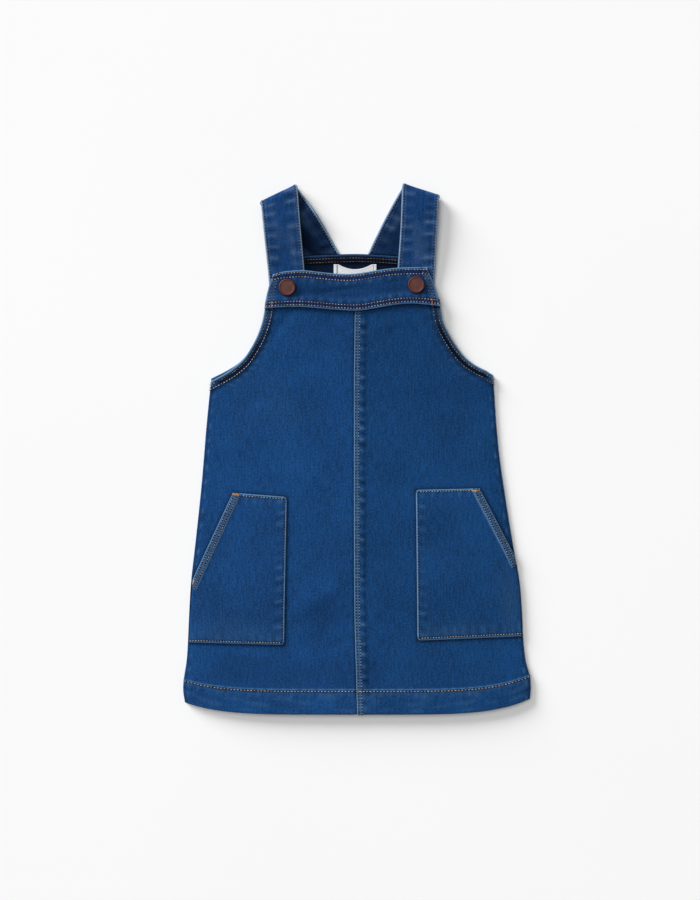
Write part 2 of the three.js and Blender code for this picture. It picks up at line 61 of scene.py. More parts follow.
MM_PER_ROW_OF_HEM = 10.6

left_edge = [
    (-82.4, 132.0), (-82.9, 124.8), (-85.4, 113.0), (-89.4, 101.8), (-95.3, 90.4), (-102.6, 80.0),
    (-112.0, 71.8), (-121.6, 65.8), (-131.0, 61.0), (-133.0, 43.7), (-135.6, 16.7), (-137.8, -10.4),
    (-140.2, -37.4), (-143.0, -64.4), (-146.0, -91.4), (-149.0, -118.4), (-150.7, -145.4),
    (-151.9, -172.4), (-153.1, -190.0), (-155.8, -207.6), (-156.1, -217.0), (-154.6, -227.7),
]
right_edge = [
    (74.4, 134.6), (74.9, 127.4), (77.6, 113.8), (83.0, 102.4), (90.0, 91.2), (98.5, 81.0),
    (108.4, 74.0), (115.8, 70.4), (122.2, 66.4), (123.8, 43.7), (125.7, 16.7), (128.5, -10.4),
    (132.4, -37.4), (136.6, -64.4), (141.2, -91.4), (146.0, -118.4), (148.3, -145.4),
    (149.4, -170.0), (151.6, -190.0), (155.4, -203.6), (156.1, -214.0), (155.4, -224.4),
]
centre_seam = [
    (-1.8, 130.0), (-2.0, 122.0), (-2.2, 110.0), (-2.4, 96.0), (-2.6, 82.0), (-2.8, 68.0),
    (-2.8, 54.0), (-2.8, 42.0), (-2.8, 31.0), (-2.8, 16.0), (-2.8, -6.0), (-2.8, -28.0),
    (-2.8, -50.0), (-2.8, -73.0), (-2.7, -97.0), (-2.6, -122.0), (-2.3, -148.0), (-1.7, -175.0),
    (-1.0, -197.0), (-0.5, -217.0), (-0.2, -228.0), (0.0, -238.3),
]
back_left_edge = [
    (-64.0, 172.4), (-68.2, 156.0), (-74.0, 140.0), (-79.4, 124.8), (-86.2, 108.0), (-95.0, 90.6),
    (-104.0, 79.2), (-114.8, 71.6), (-131.0, 63.2),
] + left_edge[UNDERARM + 1:]
back_right_edge = [
    (54.4, 171.8), (58.2, 157.0), (65.6, 141.0), (72.2, 126.0), (79.6, 108.0), (89.6, 91.2),
    (98.2, 81.0), (108.2, 74.0), (122.2, 66.4),
] + right_edge[UNDERARM + 1:]
back_middle = [
    (-1.4, 175.4), (-1.6, 156.0), (-1.8, 137.0), (-2.0, 118.0), (-2.2, 99.0), (-2.4, 81.0),
    (-2.6, 63.0), (-2.7, 47.0), (-2.8, 31.0),
] + centre_seam[UNDERARM + 1:]


def ease(low, high, value):
    """A smooth step: 0 below low, and 1 above high."""
    part = np.clip((value - low) / (high - low), 0, 1)
    return part * part * (3 - 2 * part)


def between(low, high, slope, value):
    """1 between two distances, and 0 outside them."""
    return ease(low - slope, low, value) * (1 - ease(high, high + slope, value))


def line_at(distance, width, value):
    """A soft line, 1 at a distance from an edge."""
    return np.exp(-(((value - distance) / width) ** 2))


def rows_at(distances, width, value):
    """Soft lines along several rows of stitches."""
    return sum(line_at(distance, width, value) for distance in distances)


def ridges(wave):
    """The raised parts of a wave, cut off at 1."""
    return np.clip(wave, 0, 1)


def ticks(wave):
    """The narrow troughs of a wave, as where the cloth is caught between two stitches."""
    return np.clip(-wave, 0, 1) ** 2


def along(line, t, corners=()):
    """Places on a smooth line through points. t counts the points, and corners stay sharp."""
    line = np.asarray(line, float)
    t = np.asarray(t, float)
    last = len(line) - 1
    row = np.clip(np.floor(t).astype(int), 0, last - 1)
    part = (t - row)[..., None]
    sharp = np.array([k in corners or k in (0, last) for k in range(last + 1)])
    before, start, end, after = (line[np.clip(row + k, 0, last)] for k in (-1, 0, 1, 2))
    slope_in = np.where(sharp[row][..., None], end - start, (end - before) / 2)
    slope_out = np.where(sharp[row + 1][..., None], end - start, (after - start) / 2)
    return (
        start * (2 * part**3 - 3 * part**2 + 1)
        + slope_in * (part**3 - 2 * part**2 + part)
        + end * (3 * part**2 - 2 * part**3)
        + slope_out * (part**3 - part**2)
    )


def distance_to(line, x, y):
    """Shortest way from each place to a line of points."""
    line = np.asarray(line, float)
    start, run = line[:-1], np.diff(line, axis=0)
    away_x = x.ravel()[:, None] - start[:, 0]
    away_y = y.ravel()[:, None] - start[:, 1]
    part = np.clip((away_x * run[:, 0] + away_y * run[:, 1]) / (run**2).sum(1), 0, 1)
    gap = np.hypot(away_x - part * run[:, 0], away_y - part * run[:, 1])
    return gap.min(1).reshape(x.shape)


def unit(vectors):
    """The same ways, each 1 long."""
    return vectors / np.linalg.norm(vectors, axis=-1, keepdims=True)


def length_of(places):
    """Length of a line of points from its first to each of them."""
    steps = np.linalg.norm(np.diff(places, axis=0), axis=1)
    return np.concatenate([[0], np.cumsum(steps)])


def body_rows(lines, top_steps):
    """Row positions down a panel, a grain apart and closer at its top, its hem line and its hem's edge."""
    rows = []
    for k in range(HEM_EDGE):
        longest = max(math.dist(line[k], line[k + 1]) for line in lines)
        count = max(2, round(longest / GRAIN))
        rows += [k + n / count for n in range(count)]
    at_hem_line = HEM_LINE + np.array([-0.16, -0.12, -0.09, -0.06, -0.03, 0.03, 0.07, 0.12])
    at_hem_edge = HEM_EDGE - np.array([0, 0.012, 0.035, 0.08, 0.14])
    return np.unique(np.concatenate([rows, top_steps, at_hem_line, at_hem_edge]).round(5))


def section_of(edge, middle, t):
    """Both ends of each section across a panel, and its length."""
    start, end = along(edge, t, BODY_CORNERS), along(middle, t, BODY_CORNERS)
    return start, end, np.linalg.norm(end - start, axis=-1)[:, None]


def inwards_of(edge, middle, t, inwards):
    """Places on a panel, at lengths inwards from its outer edge. Near the hem its sections bow upwards."""
    start, end, reach = section_of(edge, middle, t)
    part = np.clip(1 - inwards / reach, 0, 1)
    bow = 1.6 + 3.4 * ease(UNDERARM + 4, HEM_LINE, t)[:, None]
    x = end[:, :1] + (start[:, :1] - end[:, :1]) * part
    y = end[:, 1:] + (start[:, 1:] - end[:, 1:]) * part**bow
    return x, y


def slant_of(edge, middle, t):
    """How much longer a section runs across an armhole's turned edge than that edge is wide."""
    start, end, reach = section_of(edge, middle, t)
    outline = along(edge, t + 0.1, BODY_CORNERS) - along(edge, np.maximum(t - 0.1, 0), BODY_CORNERS)
    inwards = end - start
    cross = inwards[:, 0] * outline[:, 1] - inwards[:, 1] * outline[:, 0]
    size = reach[:, 0] * np.linalg.norm(outline, axis=1)
    return np.where(t < UNDERARM, 1 / np.maximum(np.abs(cross / size), 0.35), 1.0)[:, None]


def panel_grid(edge, middle, t, middle_steps):
    """A half panel's grid: places, widths in from its outer edge, and lengths from its middle."""
    slant = slant_of(edge, middle, t)
    reach = section_of(edge, middle, t)[2]
    outer = np.array(EDGE_STEPS) * slant
    inner = reach - np.array(middle_steps)
    room = inner[:, :1] - outer[:, -1:]
    count = round(float(room.max()) / GRAIN)
    inwards = np.hstack([outer, outer[:, -1:] + room * np.arange(1, count) / count, inner])
    x, y = inwards_of(edge, middle, t, inwards)
    return np.repeat(t[:, None], x.shape[1], 1), x, y, inwards / slant, reach - inwards


def hem_distance(t):
    """Length below the line where the hem is stitched, and negative above it."""
    return np.where(t < HEM_LINE, MM_PER_ROW_ABOVE_HEM, MM_PER_ROW_OF_HEM) * (t - HEM_LINE)


def from_armhole(edge, x, y):
    """Width in from an armhole's edge, which runs on straight past the underarm."""
    line = along(edge, np.linspace(0, UNDERARM, 50), BODY_CORNERS)
    return distance_to(np.vstack([line, line[-1] + EDGE_RUN_ON * unit(line[-1] - line[-2])]), x, y)


def armhole_turn(width):
    """1 on an armhole's turned edge, and 0 past it."""
    return 1 - ease(ARMHOLE_TURN, ARMHOLE_TURN + 0.7, width)


def fold_drop(distance, radius):
    """How far a surface drops where it rolls over a folded edge."""
    inside = np.clip(radius - distance, 0, radius)
    return radius - np.sqrt(radius**2 - inside**2)


def ripple(length, pitch, seed):
    """Uneven wave from -1 to 1 along a stitched seam, as its thread draws the cloth up."""
    rng = np.random.default_rng(seed)
    count = int((np.max(length) - np.min(length)) / pitch * 2.6) + 12
    knots = np.cumsum(rng.uniform(0.34, 0.68, count) * pitch) + np.min(length) - pitch
    height = rng.uniform(0.3, 1.0, count)
    turns = np.interp(length, knots, np.arange(count))
    return np.cos(np.pi * turns) * np.interp(length, knots, height)


def unevenness(x, y, seed, shortest=24.0, longest=90.0):
    """Low soft waves in every direction, as in cloth that was only smoothed by hand."""
    rng = np.random.default_rng(seed)
    total = np.zeros_like(x)
    for _ in range(12):
        turn, phase = rng.uniform(0, 2 * np.pi, 2)
        wave = rng.uniform(shortest, longest)
        total += np.sin(2 * np.pi * (x * np.cos(turn) + y * np.sin(turn)) / wave + phase)
    return total / 5


def steps_across(steps, width, count):
    """Points across a strip: the same steps in from both of its edges, and even ones between them."""
    steps = np.array(steps)
    middle = np.linspace(steps[-1], width - steps[-1], count)[1:-1]
    return np.concatenate([steps, middle, (width - steps)[::-1]])


def new_object(name, data):
    made = bpy.data.objects.new(name, data)
    bpy.context.scene.collection.objects.link(made)
    return made


def as_part(piece, node, material):
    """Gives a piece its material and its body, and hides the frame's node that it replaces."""
    piece.data.materials.append(material)
    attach(piece, "root")
    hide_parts(node)
    return piece


def cloth_piece(name, top, under, grain, worn, deep, deep_below=None):
    """A closed thin shell between two grids of places, with its cloth map, and its wear, painted highlight
    and painted shade laid on it.
    """
    deep_below = deep if deep_below is None else deep_below
    lines, places = top.shape[:2]
    count = lines * places
    points = np.concatenate([top.reshape(-1, 3), under.reshape(-1, 3)]) * MM
    at = np.arange(count).reshape(lines, places)
    quads = np.stack([at[:-1, :-1], at[:-1, 1:], at[1:, 1:], at[1:, :-1]], -1).reshape(-1, 4)
    rim = np.concatenate([at[0, :], at[1:, -1], at[-1, -2::-1], at[-2:0:-1, 0]])
    after = np.roll(rim, -1)
    walls = np.stack([after, rim, rim + count, after + count], -1)
    faces = np.concatenate([quads, quads[:, ::-1] + count, walls])
    a, b, c, d = (points[faces[:, k]] for k in range(4))
    volume = (a * (np.cross(b, c) + np.cross(c, d))).sum()
    if volume < 0:
        faces = faces[:, ::-1]
    mesh = bpy.data.meshes.new(name)
    mesh.from_pydata(points.tolist(), [], faces.tolist())
    corner = np.empty(len(mesh.loops), np.int32)
    mesh.loops.foreach_get("vertex_index", corner)
    uv = np.concatenate([grain.reshape(-1, 2)] * 2) * MM
    mesh.uv_layers.new(name="cloth").data.foreach_set("uv", uv[corner].ravel())
    for label, above, below in (("worn", worn, worn), ("deep", deep, deep_below)):
        painted = [np.clip(np.broadcast_to(values, at.shape).ravel(), 0, 1) for values in (above, below)]
        layer = mesh.attributes.new(label, "FLOAT", "POINT")
        layer.data.foreach_set("value", np.concatenate(painted))
    mesh.shade_smooth()
    return new_object(name, mesh)


def laid_piece(name, x, y, top, under, worn, deep, deep_below=None):
    """A cloth shell between two heights over the same places, with its cloth map laid straight over them."""
    flat = np.dstack([x, y])
    shell = [np.dstack([flat, 0 * x + height]) for height in (top, under)]
    return cloth_piece(name, *shell, flat, worn, deep, deep_below)


class Wire:
    """One value in a node tree. Sums of wires add Math nodes, and make() adds any other node."""

    def __init__(self, tree, socket=None):
        self.tree = tree
        self.socket = socket

    def make(self, kind, inputs=None, output=0, **settings):
        """Adds a node, with its settings first and then the values or the links of its sockets."""
        node = self.tree.nodes.new(kind)
        for key, value in settings.items():
            setattr(node, key, value)
        for key, value in (inputs or {}).items():
            for given in value if isinstance(value, list) else [value]:
                if isinstance(given, Wire):
                    self.tree.links.new(given.socket, node.inputs[key])
                else:
                    node.inputs[key].default_value = given
        return Wire(self.tree, node.outputs[output])

    def maths(self, operation, first, second):
        return self.make("ShaderNodeMath", {0: first, 1: second}, operation=operation)

    def __add__(self, other):
        return self.maths("ADD", self, other)

    def __sub__(self, other):
        return self.maths("SUBTRACT", self, other)

    def __rsub__(self, other):
        return self.maths("SUBTRACT", other, self)

    def __mul__(self, other):
        return self.maths("MULTIPLY", self, other)

    __radd__ = __add__
    __rmul__ = __mul__

    def blend(self, first, second):
        """A colour between two, with this value as the share of the second."""
        ends = {0: self, 6: first, 7: second}
        return self.make("ShaderNodeMix", ends, 2, data_type="RGBA", clamp_factor=True)

    def between(self, low, high):
        """0 below low, 1 above high, and smooth between."""
        ends = {"Value": self, "From Min": low, "From Max": high}
        return self.make("ShaderNodeMapRange", ends, interpolation_type="SMOOTHSTEP")

    def noise(self, scale, detail, **settings):
        """Cloudy noise over these coordinates."""
        sizes = {"Vector": self, "Scale": scale, "Detail": detail}
        return self.make("ShaderNodeTexNoise", sizes, **settings)

    def bump(self, strength, distance):
        """This height as a relief for a shader's Normal."""
        sizes = {"Strength": strength, "Distance": distance, "Height": self}
        return self.make("ShaderNodeBump", sizes)

    def painted(self, label):
        """What is painted on a cloth piece under this label."""
        return self.make("ShaderNodeAttribute", output=2, attribute_name=label)


def paint(red, green, blue):
    """A colour as a screen shows it, from 0 to 255, in the renderer's own scale."""
    shares = [value / 255 for value in (red, green, blue)]
    return (*[s / 12.92 if s <= 0.04045 else ((s + 0.055) / 1.055) ** 2.4 for s in shares], 1.0)


def new_material(name):
    material = bpy.data.materials.new(name)
    material.use_nodes = True
    return material, Wire(material.node_tree)


def set_shader(material, inputs):
    """Sets or links the sockets of a new material's one shader."""
    shader = material.node_tree.nodes["Principled BSDF"]
    for key, value in inputs.items():
        if isinstance(value, Wire):
            material.node_tree.links.new(value.socket, shader.inputs[key])
        else:
            shader.inputs[key].default_value = value
    return material


def denim(name, blue, shade=(8, 16, 34), pale=(112, 154, 190)):
    """Washed indigo twill: a fine even fleck, pale where it rubs and where painted highlight lies on lit
    edges, and dark in its stitched folds, from its unfaded indigo and from painted shade.
    """
    material, wire = new_material(name)
    cloth = wire.make("ShaderNodeUVMap", uv_map="cloth")

    def noise(across, lengthwise, detail, seed):
        place = {"Vector": cloth, "Location": (seed, seed, 0), "Scale": (across, lengthwise, 1)}
        return wire.make("ShaderNodeMapping", place).noise(1, detail, noise_dimensions="2D")

    slubs, warp, weft = noise(700, 90, 2, 0), noise(1300, 520, 1, 7), noise(480, 1200, 1, 3)
    fading = noise(24, 17, 3, 5)
    twill = {"Vector": cloth, "Scale": 740.0, "Distortion": 0.8, "Detail": 1.0, "Detail Scale": 2.0}
    wales = wire.make("ShaderNodeTexWave", twill, 1, bands_direction="DIAGONAL")
    worn, deep = wire.painted("worn"), wire.painted("deep")

    threads = 0.3 * slubs + 0.4 * warp + 0.3 * weft
    tone = 0.5 + 3.6 * (threads - 0.5) + 0.8 * (fading - 0.5)
    flecks = [paint(*[share * value for value in blue]) for share in (0.78, 1.19)]
    colour = tone.blend(*flecks)
    # The pale mask holds real wear and painted highlight; the dark mask holds unfaded indigo and painted
    # shade in creases, troughs and under other layers.
    rubbed_and_lit = worn * (0.35 + 1.3 * threads)
    colour = rubbed_and_lit.blend(colour, paint(*pale))
    colour = deep.blend(colour, paint(*shade))
    height = 0.5 * wales + 0.8 * warp + 0.6 * weft + 0.5 * slubs
    return set_shader(material, {
        "Base Color": colour,
        "Roughness": 0.95 - 0.12 * rubbed_and_lit,
        "Normal": height.bump(0.4, 0.0003),
        "Specular IOR Level": 0.05,
        "Sheen Weight": 0.015,
        "Sheen Roughness": 0.5,
    })


def thread(name, colour, faded, stained):
    """Twisted sewing thread, faded in places and stained by indigo in others."""
    material, wire = new_material(name)
    place = wire.make("ShaderNodeTexCoord", output="Object")
    patches, stains = place.noise(420, 2), place.noise(160, 1)
    shown = patches.between(0.4, 0.6).blend(paint(*colour), paint(*faded))
    shown = (0.75 * stains.between(0.5, 0.62)).blend(shown, paint(*stained))
    return set_shader(material, {
        "Base Color": shown,
        "Roughness": 0.9 - 0.2 * patches,
        "Normal": place.noise(4200, 1).bump(0.5, 0.0001),
        "Specular IOR Level": 0.08,
    })


def stitch_rows():
    """Nodes that sew along each line: a thread at every pitch, and the dip where it goes in after it, which
    takes the Shade material as painted shade.
    """
    tree = bpy.data.node_groups.new("stitch_rows", "GeometryNodeTree")
    tree.interface.new_socket("Rows", in_out="INPUT", socket_type="NodeSocketGeometry")
    kinds = dict.fromkeys(("Pitch", "Length", "Thickness", "Hole", "Turn"), "Float")
    kinds.update(Seed="Int", Thread="Material", Shade="Material")
    for label, kind in kinds.items():
        tree.interface.new_socket(label, in_out="INPUT", socket_type="NodeSocket" + kind)
    tree.interface.new_socket("Sewn", in_out="OUTPUT", socket_type="NodeSocketGeometry")
    given = tree.nodes.new("NodeGroupInput")
    wire = Wire(tree)

    def size(label):
        return Wire(tree, given.outputs[label])

    def vector(x, y, z):
        return wire.make("ShaderNodeCombineXYZ", {0: x, 1: y, 2: z})

    def random(low, high, offset):
        ends = {2: low, 3: high, "Seed": size("Seed") + offset}
        return wire.make("FunctionNodeRandomValue", ends, 1, data_type="FLOAT")

    half_thick = 0.5 * size("Thickness")
    ball = wire.make("GeometryNodeMeshUVSphere", {"Segments": 6, "Rings": 4, "Radius": 1.0})
    strand = wire.make("GeometryNodeTransform", {
        "Geometry": ball,
        "Rotation": (0, math.pi / 2, 0),
        "Scale": vector(0.8 * half_thick, half_thick, 0.5 * size("Length")),
    })
    flat_ball = wire.make("GeometryNodeMeshUVSphere", {"Segments": 6, "Rings": 3, "Radius": 1.0})
    dip = wire.make("GeometryNodeTransform", {
        "Geometry": flat_ball,
        "Translation": vector(0.5 * size("Pitch"), 0.0, -0.15 * half_thick),
        "Scale": vector(0.5 * size("Hole"), 0.42 * size("Hole"), 0.75 * half_thick),
    })
    marked = {"Geometry": dip, "Name": "hole", "Value": True}
    dip = wire.make("GeometryNodeStoreNamedAttribute", marked, data_type="BOOLEAN", domain="FACE")
    stitch = wire.make("GeometryNodeJoinGeometry", {"Geometry": [strand, dip]})
    stitch = wire.make("GeometryNodeSetShadeSmooth", {0: stitch})

    line = wire.make("GeometryNodeMeshToCurve", {"Mesh": size("Rows")})
    pitches = {"Curve": line, "Length": size("Pitch")}
    places = wire.make("GeometryNodeResampleCurve", pitches, mode="LENGTH")
    up = wire.make("GeometryNodeInputNamedAttribute", {"Name": "up"}, data_type="FLOAT_VECTOR")
    facing = wire.make("FunctionNodeAlignRotationToVector", {"Vector": up}, axis="Z")
    facing = {"Rotation": facing, "Vector": wire.make("GeometryNodeInputTangent")}
    facing = wire.make("FunctionNodeAlignRotationToVector", facing, axis="X", pivot_axis="Z")
    turn = vector(0.0, 0.0, size("Turn") + random(-0.09, 0.09, 1))
    facing = {"Rotation": facing, "Rotate By": wire.make("FunctionNodeEulerToRotation", {0: turn})}
    sewn = wire.make("GeometryNodeInstanceOnPoints", {
        "Points": places,
        "Instance": stitch,
        "Rotation": wire.make("FunctionNodeRotateRotation", facing, rotation_space="LOCAL"),
        "Scale": vector(random(0.86, 1.08, 2), random(0.85, 1.1, 3), 1.0),
    })
    sewn = wire.make("GeometryNodeRealizeInstances", {"Geometry": sewn})
    sewn = wire.make("GeometryNodeSetMaterial", {"Geometry": sewn, "Material": size("Thread")})
    holes = wire.make("GeometryNodeInputNamedAttribute", {"Name": "hole"}, data_type="BOOLEAN")
    holes = {"Geometry": sewn, "Selection": holes, "Material": size("Shade")}
    sewn = wire.make("GeometryNodeSetMaterial", holes)
    tree.links.new(sewn.socket, tree.nodes.new("NodeGroupOutput").inputs["Sewn"])
    return tree


stitch_nodes = stitch_rows()
tan_thread = thread("tan_thread", (170, 138, 112), (178, 168, 154), (96, 82, 88))
cream_thread = thread("cream_thread", (190, 182, 168), (208, 209, 206), (132, 118, 120))
blue_thread = thread("blue_thread", (58, 84, 128), (92, 118, 160), (34, 52, 92))
lilac_thread = thread("lilac_thread", (98, 128, 172), (130, 154, 192), (60, 84, 130))
pale_thread = thread("pale_thread", (134, 158, 194), (164, 180, 204), (82, 102, 142))
grey_thread = thread("grey_thread", (104, 128, 148), (148, 164, 172), (46, 64, 94))
# The neck facing's thread: a tan darkened as painted shade.
shaded_thread = thread("shaded_thread", (136, 116, 94), (148, 136, 120), (64, 60, 66))
needle_shade = thread("needle_shade", (16, 15, 30), (26, 24, 42), (10, 12, 24))


def drawn_on(piece, lines, from_below=False):
    """Lines of places laid on a finished piece: points on its surface with the ways they face."""
    mesh = piece.data
    tree = BVHTree.FromPolygons([v.co for v in mesh.vertices], [p.vertices for p in mesh.polygons])
    look = Vector((0, 0, 1 if from_below else -1))
    found = []
    for line in lines:
        hits = [tree.ray_cast(Vector((x * MM, y * MM, 0)) - look * 0.05, look) for x, y in line]
        found.append([(place, normal) for place, normal, _, _ in hits if place is not None])
    return found


def sew(name, rows, material, pitch=2.7, length=1.9, thick=0.6, hole=1.3, turn=0.0, seed=1, slot="denim"):
    """Stitches along rows of (place, way up) pairs, as one plain mesh that rides with the dress."""
    places = [place for row in rows for place, _ in row]
    edges = []
    first = 0
    for row in rows:
        edges += [(first + k, first + k + 1) for k in range(len(row) - 1)]
        first += len(row)
    guide_mesh = bpy.data.meshes.new(name + "_guide")
    guide_mesh.from_pydata(places, edges, [])
    up = guide_mesh.attributes.new("up", "FLOAT_VECTOR", "POINT")
    up.data.foreach_set("vector", np.array([way for row in rows for _, way in row]).ravel())
    guide = new_object(name + "_guide", guide_mesh)
    modifier = guide.modifiers.new("sewing", "NODES")
    modifier.node_group = stitch_nodes
    sizes = {
        "Pitch": pitch * MM, "Length": length * MM, "Thickness": thick * MM, "Hole": hole * MM,
        "Turn": turn, "Seed": seed, "Thread": material, "Shade": needle_shade,
    }
    for item in stitch_nodes.interface.items_tree:
        if item.in_out == "INPUT" and item.name in sizes:
            modifier[item.identifier] = sizes[item.name]
    sewn = guide.evaluated_get(bpy.context.evaluated_depsgraph_get())
    mesh = bpy.data.meshes.new_from_object(sewn)
    mesh.name = name
    bpy.data.objects.remove(guide)
    stitches = new_object(name, mesh)
    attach(stitches, "root")
    return stitches


def armhole_row(edge, inset):
    """A line down an armhole at a width in from its edge, run on straight to the side seam."""
    line = along(edge, np.linspace(0.1, UNDERARM, 90), BODY_CORNERS)
    way = unit(np.gradient(line, axis=0))
    inwards = np.stack([-way[:, 1], way[:, 0]], 1) * (1 if edge[0][0] < 0 else -1)
    row = line + inset * inwards
    run_on = np.linspace(0.3, 0.66 * inset - 0.8, 4)[:, None]
    return np.vstack([row, row[-1] + way[-1] * run_on])


def beside_middle_line(edge, middle, t, length):
    """A line down a panel at a length from its middle."""
    return np.hstack(inwards_of(edge, middle, t, section_of(edge, middle, t)[2] - length))


def hem_line(edge, middle, below, inset=1.5, beside_middle=0.6):
    """A line across a panel's hem, from its side to its middle."""
    t = np.full(160, HEM_LINE + below / MM_PER_ROW_OF_HEM)
    reach = float(section_of(edge, middle, t[:1])[2][0, 0])
    inwards = np.linspace(inset, reach - beside_middle, len(t))[:, None]
    return np.hstack(inwards_of(edge, middle, t, inwards))


ARMHOLE_ROWS = (3.0, 6.6)  # widths in from an armhole's edge to its two rows of stitches
HEM_ROW = 0.6  # length below the hem line to its row
BELOW_DIP = 0.42  # how deep the stitched lines lie in the side that rests on the floor
BACK_ROUND = (0.55, 0.35)  # radius of its edges, above and below
INSIDE_DARK = 0.92  # how much darker the inside is painted: its unworn dye, and painted shade where it lies under the bib and straps

back_t = body_rows([back_left_edge, back_right_edge, back_middle], [0.006, 0.02, 0.045, 0.08])
back_sides = [panel_grid(edge, back_middle, back_t, [0]) for edge in (back_left_edge, back_right_edge)]
t, x, y, inwards, _ = (np.hstack([near, far[:, -2::-1]]) for near, far in zip(*back_sides))
below_hem = hem_distance(t)
arm_width = np.minimum(*(from_armhole(edge, x, y) for edge in (back_left_edge, back_right_edge)))
turned = np.maximum(armhole_turn(arm_width) * ease(0.6, 1, t), ease(HEM_LINE - HEM_SLOPE, HEM_LINE, t))
rolled = np.minimum(inwards, np.minimum((HEM_EDGE - t) * MM_PER_ROW_OF_HEM, t * 16))
stitched = ridges(rows_at(ARMHOLE_ROWS, 0.7, arm_width) + line_at(HEM_ROW, 0.7, below_hem))
back = laid_piece(
    "back_panel", x, y,
    top=CLOTH + TURNED * turned - fold_drop(rolled, BACK_ROUND[0]),
    under=fold_drop(rolled, BACK_ROUND[1]) + BELOW_DIP * stitched,
    worn=0.3 * line_at(0.5, 0.7, rolled) * (t > UNDERARM - 3),
    # The inside is painted dark: unworn dye and painted shade.
    deep=INSIDE_DARK * ease(0.4, 1.6, rolled),
    deep_below=0.35 * stitched,
)
as_part(back, "back", denim("back_denim", (24, 63, 108)))

back_lines = [hem_line(edge, back_middle, HEM_ROW, 1.5, 0) for edge in (back_left_edge, back_right_edge)]
for edge in (back_left_edge, back_right_edge):
    back_lines += [armhole_row(edge, d) for d in ARMHOLE_ROWS]
back_rows = drawn_on(back, back_lines, from_below=True)
back_stitches = sew("back_stitches", back_rows, tan_thread, thick=0.45, hole=0.9)

# Front panels
# Two panels of the same denim, joined down the middle by a seam that is folded to the right and stitched
# twice. They lie on the back, joined to it at the sides. Armholes and hem are turned in and stitched.

PUFF = 1.4  # air between front and back, away from the side seams
PUFF_REACH = 6
STRAP_LIFT = 1.4  # more, where a strap end lies under the bib
HEM_LIFT = 3.4  # more at the hem, which curls up a little between its ends
SEAM_FELL = 8.8  # width of the folded centre seam
SEAM_ROWS = (2.0, 4.6)  # lengths from the seam to its two rows of stitches
SEAM_SLOPE = 2.6  # run over which the folded seam's thickness fades
FRONT_ROUND = 0.7  # radius of their edges
LEFT_SEAM_STEPS = [8, 6, 4.5, 3.2, 2.2, 1.5, 1.0, 0.6, 0.35, 0.15]
RIGHT_SEAM_STEPS = [
    15, 13, 11.5, 10.2, 9.5, 9.1, 8.8, 8, 7, 6, 5.4, 4.8, 4.2, 3.4, 2.7, 2.1, 1.6, 1.1, 0.7, 0.4, 0.15,
]
strap_ends = [(-77.9, -45.9), (35.6, 68.7)]  # sides of each strap where it goes under the bib
front_t = body_rows([left_edge, right_edge, centre_seam], [0.03, 0.08])
down_side = np.linspace(UNDERARM, HEM_EDGE, 60)
side_seams = [along(edge, down_side, BODY_CORNERS) for edge in (left_edge, right_edge)]

front_creases = [  # x, y, angle, length, width and depth of each soft trough or ridge
    (-36, -148, 28, 46, 13, -0.7), (-24, -127, 30, 34, 10, 0.5), (-112, -193, -20, 40, 9, -0.5),
    (58, 102, -58, 50, 10, -0.8), (-68, 112, 57, 52, 10, -1.0), (30, 112, 12, 40, 8, 0.4),
    (-12, -174, 25, 24, 6, -0.45), (-96, -186, -8, 40, 7, 0.35), (84, -188, 10, 44, 9, -0.3),
    (-100, 40, 24, 50, 12, -0.3), (92, 44, -30, 46, 12, -0.35), (20, 96, 35, 30, 7, -0.3),
    (-28, 104, -14, 38, 8, -0.25), (-40, 20, 80, 70, 16, 0.25), (46, -20, 84, 80, 18, -0.25),
]
front_shades = [  # x, y, angle, length, width and strength of each darker patch, or paler one below zero: painted shade and painted light of the cloth's broad folds, with some of its uneven fading
    (80, 96, -60, 100, 36, 0.26), (-30, -149, 25, 50, 28, 0.26), (-66, -203, 0, 150, 26, 0.24),
    (108, -203, 2, 110, 24, 0.13), (32, 92, 80, 100, 76, 0.1), (93, -8, 80, 60, 40, 0.09),
    (-22, 96, 85, 100, 56, 0.11), (-62, 44, 15, 80, 60, -0.02), (-9, -150, 90, 90, 18, 0.13),
    (-104, -221, 0, 62, 14, 0.11), (-114, -203, 0, 44, 22, 0.14), (-24, -150, 20, 34, 24, 0.1),
    (0, -208, 0, 340, 44, 0.07),
]


def creases(table, x, y):
    """The sum of soft long patches at places, from a table of them."""
    total = np.zeros_like(x)
    for at_x, at_y, angle, length, width, depth in table:
        turn = math.radians(angle)
        run = (x - at_x) * math.cos(turn) + (y - at_y) * math.sin(turn)
        rise = (y - at_y) * math.cos(turn) - (x - at_x) * math.sin(turn)
        total += depth * np.exp(-((run / (length / 2)) ** 2) - (rise / (width / 2)) ** 2)
    return total


def front_under(x, y, t=0.0):
    """Height of the front's underside: it rises over the back's turned edges, the air and the strap ends."""
    side = np.minimum(*(distance_to(line, x, y) for line in side_seams))
    folds = creases(front_creases, x, y) + 0.16 * unevenness(x, y, 2)
    raised = np.maximum(ease(HEM_LINE - 1, HEM_LINE - HEM_SLOPE, t), ease(40, 60, y))
    over_strap = np.zeros_like(x)
    for low, high in strap_ends:
        half = (high - low) / 2 + 5
        across = 1 - ease(half, half + 22, np.abs(x - (low + high) / 2))
        over_strap = np.maximum(over_strap, across * ease(66, 124, y))
    air = (PUFF + folds) * (1 - np.exp(-side / PUFF_REACH))
    curl = HEM_LIFT * ease(HEM_LINE - 2.2, HEM_EDGE, t) * (1 - np.exp(-side / 45))
    return CLOTH + LAYER_GAP + TURNED * raised + air + STRAP_LIFT * over_strap + curl


